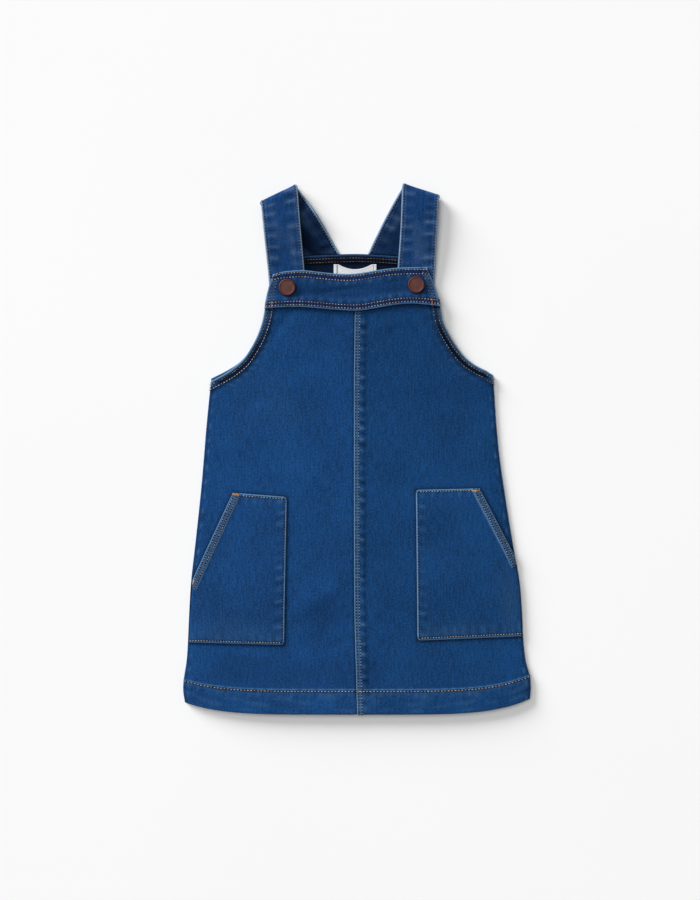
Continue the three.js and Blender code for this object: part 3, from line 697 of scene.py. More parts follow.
def sew_front(name, panel, edge, folded_seam, inner_thread, seed):
    """Two rows around a front's armhole, one over its hem, and two down the folded seam where it has one."""
    outer_row, inner_row = (drawn_on(panel, [armhole_row(edge, d)]) for d in ARMHOLE_ROWS)
    hem_row = drawn_on(panel, [hem_line(edge, centre_seam, HEM_ROW)])
    sewn = [
        sew(name + "_outer_row", outer_row, grey_thread, thick=0.45, seed=seed),
        sew(name + "_inner_row", inner_row, inner_thread, seed=seed + 1),
        sew(name + "_hem_row", hem_row, cream_thread, 3.0, 2.1, 0.5, seed=seed + 2),
    ]
    if folded_seam:
        down_seam = np.linspace(0.3, HEM_EDGE - 0.1, 260)
        rows = drawn_on(panel, [beside_middle_line(edge, centre_seam, down_seam, d) for d in SEAM_ROWS])
        fine = {"length": 1.3, "hole": 1.7}
        sewn.append(sew(name + "_seam_row", rows[:1], lilac_thread, seed=seed + 3, **fine))
        sewn.append(sew(name + "_fell_row", rows[1:], pale_thread, seed=seed + 4, **fine))
    return sewn


def front_panel(name, edge, blue, folded_seam, inner_thread, seed):
    """One front panel, with its wear, its painted highlight and shade, and its stitches. The one with the
    folded seam carries its raised strip along the middle.
    """
    steps = RIGHT_SEAM_STEPS if folded_seam else LEFT_SEAM_STEPS
    t, x, y, inwards, from_seam = panel_grid(edge, centre_seam, front_t, steps)
    below_hem = hem_distance(t)
    armhole = 1 - ease(UNDERARM - 0.3, UNDERARM + 0.1, t)
    arm_width = from_armhole(edge, x, y)
    round_edge = length_of(along(edge, t[:, 0], BODY_CORNERS))[:, None]
    arm_puckers = ripple(round_edge + 0.4 * inwards, 8.5, seed) * armhole
    side_puckers = ripple(round_edge + 0.3 * inwards, 13, seed + 1) * (1 - armhole)
    seam_puckers = ripple(y + 0.22 * from_seam, 9, seed + 2)
    hem_puckers = ripple(x + 0.3 * below_hem, 8.5, seed + 3)
    hem_streaks = unevenness(0.3 * x, 1.7 * below_hem, seed + 4, 5, 14)
    fell = 1 - ease(SEAM_FELL - 1, SEAM_FELL + SEAM_SLOPE, from_seam) if folded_seam else np.zeros_like(x)
    turned = np.maximum(armhole_turn(arm_width), ease(HEM_LINE - HEM_SLOPE, HEM_LINE, t))
    turned = np.maximum(turned, fell)
    rows_here = rows_at(ARMHOLE_ROWS, 0.6, arm_width) + line_at(HEM_ROW, 0.6, below_hem)
    if folded_seam:
        rows_here = rows_here + rows_at(SEAM_ROWS, 0.6, from_seam)
    rolled = np.minimum(inwards, (HEM_EDGE - t) * MM_PER_ROW_OF_HEM)
    rolled = np.minimum(rolled, 1.5 * from_seam if folded_seam else from_seam + 0.5)
    pull = 0.24 if folded_seam else 0.1
    relief = (
        0.2 * arm_puckers * between(1.2, 8, 3, inwards)
        + 0.12 * side_puckers * between(1, 6, 4, inwards)
        + pull * (seam_puckers - ticks(seam_puckers)) * between(3, 9, 5, from_seam)
        + 0.16 * hem_puckers * between(-1, 5, 4, below_hem)
        - 0.16 * ridges(rows_here)
    )
    under = front_under(x, y, t)
    top = under + CLOTH + TURNED * turned + relief - fold_drop(rolled, FRONT_ROUND)
    near_underarm = ease(UNDERARM - 0.1, UNDERARM, t) * (1 - ease(UNDERARM + 0.25, UNDERARM + 0.4, t))
    below_bib = 1 - ease(1, 4.5, t)
    shades = creases(front_shades, x, y)
    # Width of the lit rim on the armhole's turned edge: painted highlight on it, and painted shade in the
    # turned edge past it.
    rim = 3.0 if folded_seam else 2.1
    # Pale: wear on edges, hem and pucker crests, painted highlight on the lit rim, and the paler front_shades
    # patches as painted light.
    worn = (
        0.65 * line_at(0.45, 0.6, arm_width)
        + 0.6 * between(0.5, rim - 0.2, 0.5, arm_width)
        + 0.14 * between(1, 6, 0.8, arm_width) * below_bib
        + 0.8 * line_at(0.6, 0.9, inwards) * near_underarm
        + 0.1 * ridges(arm_puckers) * between(8, 11, 2, inwards)
        + 0.22 * ridges(side_puckers) * line_at(3.4, 1.0, inwards) * (1 - armhole)
        + 0.5 * line_at(-0.8, 0.5, below_hem) * (0.65 + 0.35 * hem_puckers)
        + 0.05 * ridges(hem_puckers) * between(2.5, 6, 2, below_hem)
        + 0.15 * line_at(2.4, 0.8, below_hem)
        + 0.07 * ridges(hem_streaks) * between(4, 18, 3, below_hem)
        + ridges(-shades)
    )
    # Dark: unfaded indigo in the stitched channels, and painted shade past the lit rim, along the side seam,
    # in pucker troughs, in the seam's crease and in the front_shades patches.
    deep = (
        0.55 * between(0.8, rim - 0.4, 0.5, arm_width)
        + 0.92 * between(rim, 6.9, 0.5, arm_width) * (1 - 0.4 * below_bib) * (1 - 0.45 * near_underarm)
        + 0.35 * between(8, 9, 1.6, arm_width)
        + 0.3 * line_at(1.6, 1.3, inwards) * (1 - armhole) * (1 - near_underarm)
        + 0.75 * line_at(HEM_ROW, 1.0, below_hem)
        + 0.2 * ticks(hem_puckers) * between(2, 6, 3, below_hem)
        + ridges(shades)
    )
    if folded_seam:
        worn = worn + 0.66 * line_at(0.3, 0.75, from_seam) + 0.14 * between(1.4, 5.2, 0.4, from_seam)
        worn = worn + 0.16 * line_at(3.3, 0.5, from_seam)
        worn = worn + 0.3 * ridges(seam_puckers) ** 2 * between(6, 8.5, 2.5, from_seam)
        deep = deep + 0.4 * rows_at(SEAM_ROWS, 0.6, from_seam)
        deep = deep + 0.6 * ticks(seam_puckers) * between(6, 10, 3.5, from_seam)
    else:
        deep = deep + 0.55 * line_at(0.2, 1.3, from_seam)
    panel = laid_piece(name, x, y, top, under, worn, deep)
    as_part(panel, name.replace("_panel", ""), denim(name + "_denim", blue))
    sewn = sew_front(name, panel, edge, folded_seam, inner_thread, seed)
    return panel


# The right panel's blue is darker: partly painted shade, as the light falls from the left, and partly uneven
# fading.
front_left = front_panel(
    "front_left_panel", left_edge, (23, 65, 114), False, cream_thread, 20
)
front_right = front_panel(
    "front_right_panel", right_edge, (21, 62, 108), True, grey_thread, 40
)

# Patch pockets
# Each is one layer of denim with its edges turned under, stitched down on a front panel on three sides.
# Its slanting mouth is left open. It has a wider turned edge with two rows of stitches.

POCKET_ROW = 2.0  # width in from a pocket's top and foot to their rows of stitches
SIDE_ROW = 1.6  # and from its inner side
MOUTH_TURN = 6.2  # width of the mouth's turned edge
MOUTH_ROWS = (1.7, 4.9)
MOUTH_SLANT = 1.15  # length of a pocket's row across the mouth's turned edge, over its width
MOUTH_END = 2  # point of the outer edge where the mouth meets the side seam
MOUTH_RUN_ON = 8.5  # how far the mouth's turned edge runs on past that point
POCKET_END = 4  # point of the outer edge at the foot
CORNER_ROUND = 3.4  # radius of its square corners, seen from above
POCKET_ROUND = 0.8  # radius of its folded edges
TOP_PER_ROW = 39.0  # length down a pocket for each point of its edges, above the mouth's end and below it
FOOT_PER_ROW = 28.4
FOLD_STEPS = [0, 0.1, 0.28, 0.55, 0.95, 1.4, 2.0, 2.7, 3.6, 4.6, 5.6, 7.2]

pocket_edges = {
    "pocket_left": (
        [(-111.4, -39.4), (-129.4, -77.9), (-147.2, -116.4), (-149.4, -145.6), (-150.8, -174.0)],
        [(-62.8, -43.2), (-63.6, -83.0), (-64.4, -121.0), (-64.9, -149.0), (-65.2, -176.2)],
    ),
    "pocket_right": (
        [(110.4, -35.6), (126.2, -65.8), (141.8, -96.0), (146.9, -132.0), (148.3, -168.4)],
        [(52.9, -36.8), (53.4, -72.0), (53.8, -107.0), (54.1, -140.0), (54.4, -172.4)],
    ),
}
pocket_paler_patches = [  # x, y, angle, length, width and strength of each paler patch
    (-110, -166, -2, 84, 24, 0.035), (80, -166, 2, 70, 20, 0.035), (139, -138, -84, 64, 20, 0.05),
]


def paint_shadow_beside(piece, line, reach, amount):
    """Paints shadow on a cloth piece along the edge of another layer that lies on it, where that layer shades
    it.
    """
    mesh = piece.data
    places = np.empty(3 * len(mesh.vertices), np.float32)
    mesh.vertices.foreach_get("co", places)
    deep = np.empty(len(mesh.vertices), np.float32)
    mesh.attributes["deep"].data.foreach_get("value", deep)
    x, y = places.reshape(-1, 3)[:, :2].T / MM
    near = line_at(0, reach, distance_to(line, x, y))
    deep = np.clip(deep + amount * near, 0, 1).astype(np.float32)
    mesh.attributes["deep"].data.foreach_set("value", deep)


def pocket_places(outer, inner, t, from_inner):
    """Places on a pocket, at lengths from its inner edge."""
    start, end = along(outer, t, (MOUTH_END,)), along(inner, t, (MOUTH_END,))
    part = (from_inner / np.linalg.norm(end - start, axis=-1))[..., None]
    places = end + (start - end) * part
    return places[..., 0], places[..., 1]


def rounded(a, b):
    """Moves places near a square corner so that it turns round. a and b are lengths from its two edges."""
    u, v = (np.clip(1 - value / CORNER_ROUND, 0, 1) for value in (a, b))
    share = np.maximum(u, v) / np.maximum(np.hypot(u, v), 1e-9)
    return a + CORNER_ROUND * u * (1 - share), b + CORNER_ROUND * v * (1 - share)


def pocket_grid(outer, inner):
    """A pocket's grid: places, lengths of its rows and along them, and lengths in from side, top and foot."""
    from_top = [step / TOP_PER_ROW for step in FOLD_STEPS]
    from_foot = [POCKET_END - step / FOOT_PER_ROW for step in FOLD_STEPS]
    rows = np.concatenate([from_top, np.linspace(0.24, 3.7, 78), [MOUTH_END], from_foot])
    t = np.unique(rows.round(5))[:, None]
    reach = np.linalg.norm(along(outer, t, (MOUTH_END,)) - along(inner, t, (MOUTH_END,)), axis=-1)
    near_mouth = reach - np.array(EDGE_STEPS) * MOUTH_SLANT
    room = near_mouth[:, -1:] - FOLD_STEPS[-1]
    count = round(float(room.max()) / GRAIN)
    side_in = np.hstack([near_mouth, near_mouth[:, -1:] - room * np.arange(1, count) / count])
    side_in = np.hstack([side_in, np.repeat([FOLD_STEPS[::-1]], len(t), 0)])
    top_in = np.repeat(t, side_in.shape[1], 1) * TOP_PER_ROW
    foot_in = (POCKET_END - np.repeat(t, side_in.shape[1], 1)) * FOOT_PER_ROW
    from_side, moved_top = rounded(side_in, top_in)
    side_at_foot, moved_foot = rounded(side_in, foot_in)
    from_side = np.where(foot_in < CORNER_ROUND, side_at_foot, from_side)
    t = t + (moved_top - top_in) / TOP_PER_ROW - (moved_foot - foot_in) / FOOT_PER_ROW
    return *pocket_places(outer, inner, t, from_side), reach, from_side, side_in, top_in, foot_in


def mouth_of(outer):
    """Where a pocket's mouth starts, the ways along it and in from it, and its length."""
    start, end = np.array(outer[0]), np.array(outer[MOUTH_END])
    way = unit(end - start)
    inwards = np.array([-way[1], way[0]]) * (1 if start[0] < 0 else -1)
    return start, way, inwards, np.linalg.norm(end - start)


def sew_pocket(name, patch, reach, seed):
    """A row over a pocket's top and foot, one down its inner side, and two beside its mouth."""
    outer, inner = pocket_edges[name]
    top_row = POCKET_ROW / TOP_PER_ROW
    foot_row = POCKET_END - POCKET_ROW / FOOT_PER_ROW
    past_corner = CORNER_ROUND + 1
    across_top = np.linspace(reach[0, 0] - MOUTH_TURN * MOUTH_SLANT, past_corner, 60)
    across_foot = np.linspace(past_corner, reach[-1, 0] - 1.2, 80)
    down = np.linspace(CORNER_ROUND / TOP_PER_ROW, POCKET_END - CORNER_ROUND / FOOT_PER_ROW, 140)
    lines = [
        (np.full(60, top_row), across_top),
        (down, np.full(140, SIDE_ROW)),
        (np.full(80, foot_row), across_foot),
    ]
    top_line, side_line, foot_line = (np.stack(pocket_places(outer, inner, *line), 1) for line in lines)
    start, way, inwards, length = mouth_of(outer)
    runs = (np.linspace(1, length + 4, 90), np.linspace(1, length + MOUTH_RUN_ON - 0.5, 90))
    mouth_lines = [start + inwards * d + way * run[:, None] for d, run in zip(MOUTH_ROWS, runs)]
    top_and_foot, side, mouth = (
        drawn_on(patch, group) for group in ([top_line, foot_line], [side_line], mouth_lines)
    )
    return [
        sew(name + "_top_row", top_and_foot, cream_thread, 2.5, 1.6, 0.5, 1.5, seed=seed),
        sew(name + "_side_row", side, blue_thread, 2.5, 1.3, hole=1.7, seed=seed + 1),
        sew(name + "_mouth_rows", mouth, cream_thread, 2.4, 1.3, 0.45, 1.6, seed=seed + 2),
    ]


def pocket(name, front, blue, seed):
    """One patch pocket on a front panel."""
    outer, inner = pocket_edges[name]
    x, y, reach, from_side, side_in, top_in, foot_in = pocket_grid(outer, inner)
    mouth_start, mouth_way, mouth_in, mouth_length = mouth_of(outer)
    away = np.dstack([x, y]) - mouth_start
    inwards = away @ mouth_in
    run_on = mouth_length + MOUTH_RUN_ON
    mouth = 1 - ease(run_on - 1, run_on + 0.5, away @ mouth_way)
    from_outer = (reach - side_in) / MOUTH_SLANT
    rolled = np.minimum(np.minimum(from_outer, side_in), np.minimum(top_in, foot_in))
    mouth_puckers = ripple(y + 0.3 * inwards, 7, seed) * mouth
    inner_puckers = ripple(y + 0.15 * from_side, 9.5, seed + 1)
    top_puckers = ripple(x + 0.2 * top_in, 8, seed + 2)
    foot_puckers = ripple(x + 0.2 * foot_in, 8, seed + 3)
    from_fold = np.minimum(side_in + POCKET_ROW - SIDE_ROW, np.minimum(top_in, foot_in))
    under = front_under(x, y) + CLOTH + LAYER_GAP
    relief = (
        0.3 * ease(2, 24, rolled)
        + 0.10 * unevenness(x, y, seed, 14, 50) * ease(2, 12, rolled)
        + 0.13 * (inner_puckers - ticks(inner_puckers)) * between(2, 6, 5, side_in)
        + 0.12 * top_puckers * between(1.8, 5, 3, top_in)
        + 0.12 * foot_puckers * between(1.8, 5, 4, foot_in)
        + 0.16 * mouth_puckers * between(1.0, 6, 2, inwards)
        - 0.16 * line_at(POCKET_ROW, 0.6, from_fold)
        - 0.14 * rows_at(MOUTH_ROWS, 0.6, inwards) * mouth
    )
    turned = (1 - ease(MOUTH_TURN, MOUTH_TURN + 1.2, inwards)) * mouth
    top = under + CLOTH + TURNED * turned + relief - fold_drop(rolled, POCKET_ROUND)
    # Pale: wear on the folded edges and pucker crests, and the listed paler patches.
    worn = (
        0.7 * line_at(0.6, 0.65, side_in)
        + 0.4 * line_at(0.5, 0.6, foot_in)
        + 0.65 * line_at(0.5, 0.65, top_in)
        + (0.5 * line_at(0.5, 0.6, inwards) + 0.5 * line_at(6.4, 0.7, inwards)) * mouth
        + 0.2 * between(2.2, 4.4, 0.4, inwards) * mouth
        + 0.15 * ridges(inner_puckers) ** 2 * between(3, 7, 3, side_in)
        + 0.10 * ridges(top_puckers) * between(3, 7, 3, top_in)
        + 0.07 * ridges(foot_puckers) * between(3, 8, 3, foot_in)
        + creases(pocket_paler_patches, x, y)
    )
    # Dark: unfaded indigo in the stitched channels, and painted shade in the pucker troughs.
    deep = (
        0.7 * line_at(POCKET_ROW, 0.9, np.minimum(top_in, foot_in))
        + 0.42 * line_at(SIDE_ROW + 0.2, 0.6, side_in)
        + 0.6 * rows_at(MOUTH_ROWS, 0.8, inwards) * mouth
        + 0.1 * between(1.6, 5.4, 0.6, inwards) * mouth
        + 0.3 * ticks(inner_puckers) * between(3, 8, 3, side_in)
        + 0.15 * ticks(foot_puckers) * between(3, 6, 3, foot_in)
    )
    patch = laid_piece(name + "_patch", x, y, top, under, worn, deep)
    as_part(patch, name, denim(name + "_denim", blue))
    sewn = sew_pocket(name, patch, reach, seed)
    outline = np.vstack([outer, inner[::-1], outer[:1]])
    # Painted shadow on the front beside the pocket's edges.
    paint_shadow_beside(front, outline, 1.9, 0.6)
    return patch


# The right pocket's blue is darker: partly painted shade, as the light falls from the left, and partly uneven
# fading.
left_patch = pocket("pocket_left", front_left, (24, 64, 112), 60)
right_patch = pocket("pocket_right", front_right, (21, 61, 106), 80)

# Bib band
# A strip of denim folded double over the top of the front, with its ends turned in. Two rows of stitches
# run along its top and its lower edge, and down each end. It hides the strap ends.

BAND_WALL = 2.0
BAND_HEIGHT = 33
BAND_LAP = 8  # how far up the band lies on the top of the front
BAND_HEAD_ROWS = (2.0, 5.8)  # widths in from its top, its foot and its ends to their rows of stitches
BAND_FOOT_ROWS = (2.4, 5.3)
BAND_END_ROWS = (3.2, 6.8)
BAND_GRAIN = 1.5  # spacing of its points
BAND_ROUND = (0.9, 0.5)  # radius of its edges, above and below
band_foot = [
    (-83.0, 125.5), (-67.5, 126.6), (-50.9, 126.9), (-32.9, 125.6), (-14.9, 124.2), (1.6, 123.7),
    (18.9, 126.3), (35.9, 129.1), (49.4, 129.9), (62.8, 129.0), (74.9, 127.7),
]
band_head = [
    (-75.2, 156.8), (-64.4, 159.3), (-48.2, 160.3), (-32.4, 158.7), (-14.9, 157.2), (-0.4, 157.5),
    (16.0, 160.1), (31.0, 162.1), (44.0, 162.9), (54.0, 163.0), (62.8, 163.1),
]
CAP_RADIUS = 7.6
caps = {"snap_left": (-62.6, 144.9), "snap_right": (53.1, 147.1)}  # middles of the snap caps
band_creases = [  # x, y, angle, length, width and depth
    (-14, 143, 10, 44, 5, -0.7), (-6, 147, 6, 34, 5, 0.55), (22, 141, -8, 30, 5, -0.5),
    (-40, 146, -6, 30, 6, 0.45), (34, 150, 12, 26, 5, -0.45), (-50, 138, 8, 24, 5, -0.45),
]


def band_places(t, up):
    """Places on the band: t counts its points from the left, and up runs from 0 at its foot to 1."""
    foot, head = along(band_foot, t), along(band_head, t)
    end = 2 * t / (len(band_foot) - 1) - 1
    x = foot[..., 0] + (head[..., 0] - foot[..., 0]) * up + 1.2 * np.sin(np.pi * up) * end**7
    y = foot[..., 1] + (head[..., 1] - foot[..., 1]) * up
    return x, y


def band_under(x, y, up):
    """Height of the band's underside, which lies on the front and over its turned top."""
    lapped = 1 - ease(BAND_LAP, BAND_LAP + 4.5, up * BAND_HEIGHT)
    return front_under(x, y) + LAYER_GAP + (CLOTH + TURNED) * lapped


fine_t = np.linspace(0, len(band_foot) - 1, 400)
band_lengths = length_of(np.stack(band_places(fine_t, 0.5), 1))
band_length = band_lengths[-1]
lengths = steps_across(FOLD_STEPS, band_length, round((band_length - 2 * FOLD_STEPS[-1]) / BAND_GRAIN))
ups = steps_across(FOLD_STEPS, BAND_HEIGHT, 14) / BAND_HEIGHT
up, length = np.meshgrid(ups, lengths, indexing="ij")
x, y = band_places(np.interp(length, band_lengths, fine_t), up)
from_foot = up * BAND_HEIGHT
from_head = BAND_HEIGHT - from_foot
from_end = np.minimum(length, band_length - length)
rolled = np.minimum(from_end, np.minimum(from_foot, from_head))
head_puckers = ripple(x + 0.2 * from_head, 7.5, 101)
foot_puckers = ripple(x + 0.2 * from_foot, 7.5, 102)
end_puckers = ripple(y + 0.2 * from_end, 6, 103)
in_rows = rows_at(BAND_HEAD_ROWS, 0.6, from_head) + rows_at(BAND_FOOT_ROWS, 0.6, from_foot)
in_rows = ridges(in_rows + rows_at(BAND_END_ROWS, 0.6, from_end))
under = band_under(x, y, up)
relief = (
    creases(band_creases, x, y)
    + 0.18 * head_puckers * between(1.5, 6, 3, from_head)
    + 0.20 * foot_puckers * between(1.5, 6, 3, from_foot)
    + 0.16 * end_puckers * between(1.5, 6, 3, from_end)
    - 0.18 * in_rows
)
round_caps = [np.hypot(x - cap_x, y - cap_y) for cap_x, cap_y in caps.values()]
worn = (
    0.6 * line_at(0.5, 0.7, from_head)
    + 0.4 * line_at(0.9, 0.5, from_foot)
    + 0.5 * line_at(0.5, 0.6, from_end)
    + 0.14 * between(1.2, 6.6, 0.8, from_end)
    + 0.14 * ridges(head_puckers) * between(7, 9, 2, from_head)
    + 0.14 * ridges(foot_puckers) * between(7, 9, 2, from_foot)
)
# Dark: unfaded indigo between the rows, and painted shadow in a ring round each snap cap.
deep = (
    0.5 * between(1.5, 6.2, 0.6, from_head)
    + 0.5 * between(1.9, 5.8, 0.6, from_foot)
    + 0.3 * between(2.2, 7.2, 0.8, from_end)
    + 0.6 * line_at(CAP_RADIUS, 1.2, np.minimum(*round_caps))
)
top = under + BAND_WALL + relief - fold_drop(rolled, BAND_ROUND[0])
under = under + fold_drop(rolled, BAND_ROUND[1])
band = laid_piece("bib_band_strip", x, y, top, under, worn, deep)
as_part(band, "bib_band", denim("band_denim", (19, 53, 95), shade=(26, 22, 50)))


def band_line(lengths, ups):
    """A line on the band, at lengths from its left end and shares of its height."""
    lengths, ups = np.broadcast_arrays(np.asarray(lengths, float), np.asarray(ups, float))
    return np.stack(band_places(np.interp(lengths, band_lengths, fine_t), ups), 1)


across_band = np.linspace(1.5, band_length - 1.5, 200)
up_band = np.linspace(BAND_FOOT_ROWS[1], BAND_HEIGHT - BAND_HEAD_ROWS[0], 40) / BAND_HEIGHT
long_lines = [band_line(across_band, d / BAND_HEIGHT) for d in BAND_FOOT_ROWS]
long_lines += [band_line(across_band, 1 - d / BAND_HEIGHT) for d in BAND_HEAD_ROWS]
end_lines = [band_line(end, up_band) for d in BAND_END_ROWS for end in (d, band_length - d)]
long_rows, end_rows = drawn_on(band, long_lines), drawn_on(band, end_lines)
band_stitches = [
    sew("band_long_rows", long_rows, cream_thread, length=1.5, hole=1.5, seed=7),
    sew("band_end_rows", end_rows, grey_thread, length=1.4, thick=0.5, hole=1.5, seed=8),
]
# Painted shadow on the fronts under the bib band's lower edge.
for front in (front_left, front_right):
    paint_shadow_beside(front, band_foot, 1.9, 0.4)

# Neck facing and label
# A narrow denim strip is sewn along the inside of the back neck, over the strap ends. The label under it
# is a loop of white woven tape, sewn down at both ends, with its middle hanging free and nothing on it.

FACING_WALL = 1.0
FACING_DEPTH = 8.0
FACING_END = 1.0  # how far it stays short of the neck's corners
NECK_BOW = 1.6  # how flat the neck's curve is in its middle
FACING_ROWS = (3.5, 6.6)
FACING_RIM = 1.2  # width of its lit upper edge
FACING_ROUND = 0.5  # radius of its edges

neck = np.array([back_left_edge[0], back_middle[0], back_right_edge[0]])


def neck_line(x):
    """The neck's edge at places across it, from its lowest point up to both its corners."""
    left = (x < neck[1, 0])[..., None]
    reach, rise = np.moveaxis(np.where(left, neck[0], neck[2]) - neck[1], -1, 0)
    return neck[1, 1] + rise * ((x - neck[1, 0]) / reach) ** NECK_BOW


left_span, right_span = (math.dist(neck[k], neck[k + 1]) for k in (0, 1))
left_run = np.linspace(FACING_END - left_span, 0, 46)
right_run = np.linspace(0, right_span - FACING_END, 40)[1:]
left_x = neck[1, 0] - (neck[0, 0] - neck[1, 0]) * left_run / left_span
right_x = neck[1, 0] + (neck[2, 0] - neck[1, 0]) * right_run / right_span
neck_x = np.concatenate([left_x, right_x])
neck_y = neck_line(neck_x)
down = np.array([0, 0.1, 0.3, 0.6, 1.0, 1.6, 2.6, 3.6, 4.8, 5.9, 6.8, 7.3, 7.6, 7.9, FACING_DEPTH])
drop, x = np.meshgrid(down, neck_x, indexing="ij")
y = neck_y[None] - LAYER_GAP - drop
rolled = np.minimum(drop, FACING_DEPTH - drop)
under = CLOTH + LAYER_GAP
top = under + FACING_WALL - fold_drop(rolled, FACING_ROUND) - 0.12 * rows_at(FACING_ROWS, 0.6, drop)
facing = laid_piece(
    "neck_facing_strip", x, y, top, under,
    worn=0.1 * line_at(0.6, 0.5, drop),
    # Below its lit upper edge the strip is painted dark, as painted shade.
    deep=0.95 * ease(FACING_RIM, FACING_RIM + 1, drop),
)
as_part(facing, "back_neck_facing", denim("facing_denim", (19, 49, 85), shade=(8, 10, 22)))
upper_row, lower_row = (
    drawn_on(facing, [np.stack([neck_x, neck_y - LAYER_GAP - d], 1)]) for d in FACING_ROWS
)
facing_stitches = [
    sew("neck_upper_row", upper_row, shaded_thread, thick=0.5, hole=1.0, seed=9),
    sew("neck_lower_row", lower_row, shaded_thread, thick=0.35, hole=1.0, seed=10),
]

LABEL_LEFT, LABEL_RIGHT, LABEL_TOP = -20.8, 17.6, 165.9
LABEL_WALL = 0.7
LABEL_ROUND = 0.3  # radius of its edges
LABEL_HEIGHT = 18.5
LABEL_SAG = 4.4  # how far the middle of the loop hangs below its ends
LABEL_FOLDS = (2.9, 2.2)  # width of its left and of its right folded end


def label_tape():
    """Plain woven tape, with fine cross ribs, painted shade along its folds and painted highlight on its
    edges.
    """
    material, wire = new_material("label_tape")
    tape = wire.make("ShaderNodeUVMap", uv_map="cloth")
    weave = {"Vector": tape, "Scale": 900.0, "Distortion": 0.4, "Detail": 1.0}
    ribs = wire.make("ShaderNodeTexWave", weave, 1, bands_direction="Y")
    shade = tape.noise(160, 3)
    colour = (0.45 * shade + 0.12 * ribs).blend(paint(226, 228, 232), paint(190, 193, 198))
    colour = wire.painted("deep").blend(colour, paint(84, 90, 104))
    colour = wire.painted("worn").blend(colour, paint(236, 238, 240))
    return set_shader(material, {
        "Base Color": colour,
        "Roughness": 0.7 + 0.15 * shade,
        "Normal": (ribs + shade).bump(0.4, 0.00015),
        "Sheen Weight": 0.1,
    })


middle, half = (LABEL_LEFT + LABEL_RIGHT) / 2, (LABEL_RIGHT - LABEL_LEFT) / 2
inset = [0, 0.15, 0.4, 0.8, 1.5, 1.9, 2.2, 2.5, 2.9, 3.2, 3.6, 4.2, 5.4]
places = steps_across(inset, 2 * half, 26) - half
drops = np.concatenate([[0, 0.15, 0.4, 0.8], np.linspace(1.4, LABEL_HEIGHT, 16)])
drop, across = np.meshgrid(drops, places, indexing="ij")
hang = np.clip(1 - (across / half / 0.78) ** 2, 0, None)
from_side = half - np.abs(across)
x = middle + across
y = LABEL_TOP - LABEL_SAG * hang * (1 - 0.6 * drop / LABEL_HEIGHT) - drop
past_fold = from_side - np.where(across < 0, *LABEL_FOLDS)
folded = 1 - ease(-0.3, 0.1, past_fold)
under = CLOTH + LAYER_GAP + 0.35 * hang
rolled = np.minimum(from_side, drop)
top = under + LABEL_WALL + 0.35 * folded + 0.12 * unevenness(x, y, 3, 8, 20) * hang
top = top - fold_drop(rolled, LABEL_ROUND)
label = laid_piece(
    "neck_label_tape", x, y, top, under,
    # Painted highlight on the tape's edges, and painted shade at its folded ends and under its top edge.
    worn=0.6 * line_at(0.2, 0.35, rolled),
    deep=0.9 * line_at(0.3, 0.4, past_fold) + 0.2 * line_at(1.2, 0.4, drop),
)
as_part(label, "neck_label", label_tape())

# Shoulder straps
# Each is a strip of denim folded double, with its edges turned in and stitched. It is held under the bib
# band by its snap, folds over at the shoulder, and runs back down to the neck, where it is sewn in.

STRAP_WALL = 2.2
STRAP_END_UNDER = 2.9  # height of a strap's underside at its end under the bib
FOLD_TOP = 10.4  # height of its outside where it starts over the fold
FOLD_RUN = 3.2  # how far the fold bulges past the layers it joins
STRAP_WIDTH = 32.6
STRAP_ROW = 1.9  # width in from each edge to its row of stitches
STRAP_THREAD = 0.6  # thickness of the sewing thread
ROW_CLEAR = 0.7  # how far a strap's rows stay off the floor
STRAP_END_SHORT = 0.1  # how far each strap's lower end stays short of the neck's edge
STRAP_END_RISE = 0.95  # and how far it rises there, to lie on the back
STRAP_END_THINNER = 0.5  # share of its thickness that is pressed out there
STRAP_END_FROM = 0.86  # share of the back run after which it does so
STRAP_ROUND = 0.95  # radius of its edges
FRONT_ROWS_OF_STRAP = 70  # rows of points along each run and over the fold
FOLD_ROWS_OF_STRAP = 16
BACK_ROWS_OF_STRAP = 44
STRAP_STEPS = [0, 0.1, 0.28, 0.55, 0.95, 1.4, STRAP_ROW, 2.4, 2.9, 3.7, 4.6, 5.8]

strap_sides = {  # outer and inner side from the bib to the fold, and from the fold to the neck
    "strap_left": (
        [(-78.2, 133.6), (-79.8, 158.0), (-83.4, 189.0), (-87.3, 222.0)],
        [(-45.9, 133.6), (-47.2, 161.0), (-50.6, 196.0), (-54.6, 237.9)],
        [(-87.0, 222.0), (-70.6, 198.0), (-57.2, 174.0)],
        [(-54.6, 237.9), (-36.7, 212.0), (-15.7, 175.9)],
    ),
    "strap_right": (
        [(68.7, 136.0), (70.2, 158.0), (72.2, 192.0), (74.6, 227.6)],
        [(35.6, 136.0), (36.7, 162.0), (39.4, 198.0), (41.6, 238.6)],
        [(74.6, 227.6), (60.4, 200.0), (48.6, 173.4)],
        [(41.6, 238.6), (26.8, 210.4), (10.0, 175.9)],
    ),
}


def strap_run(outer, inner, part, across):
    """Places on one run of a strap, for shares of its length and of its width."""
    t = part * (len(outer) - 1)
    start, end = along(outer, t)[:, None], along(inner, t)[:, None]
    return start + (end - start) * across[None, :, None]


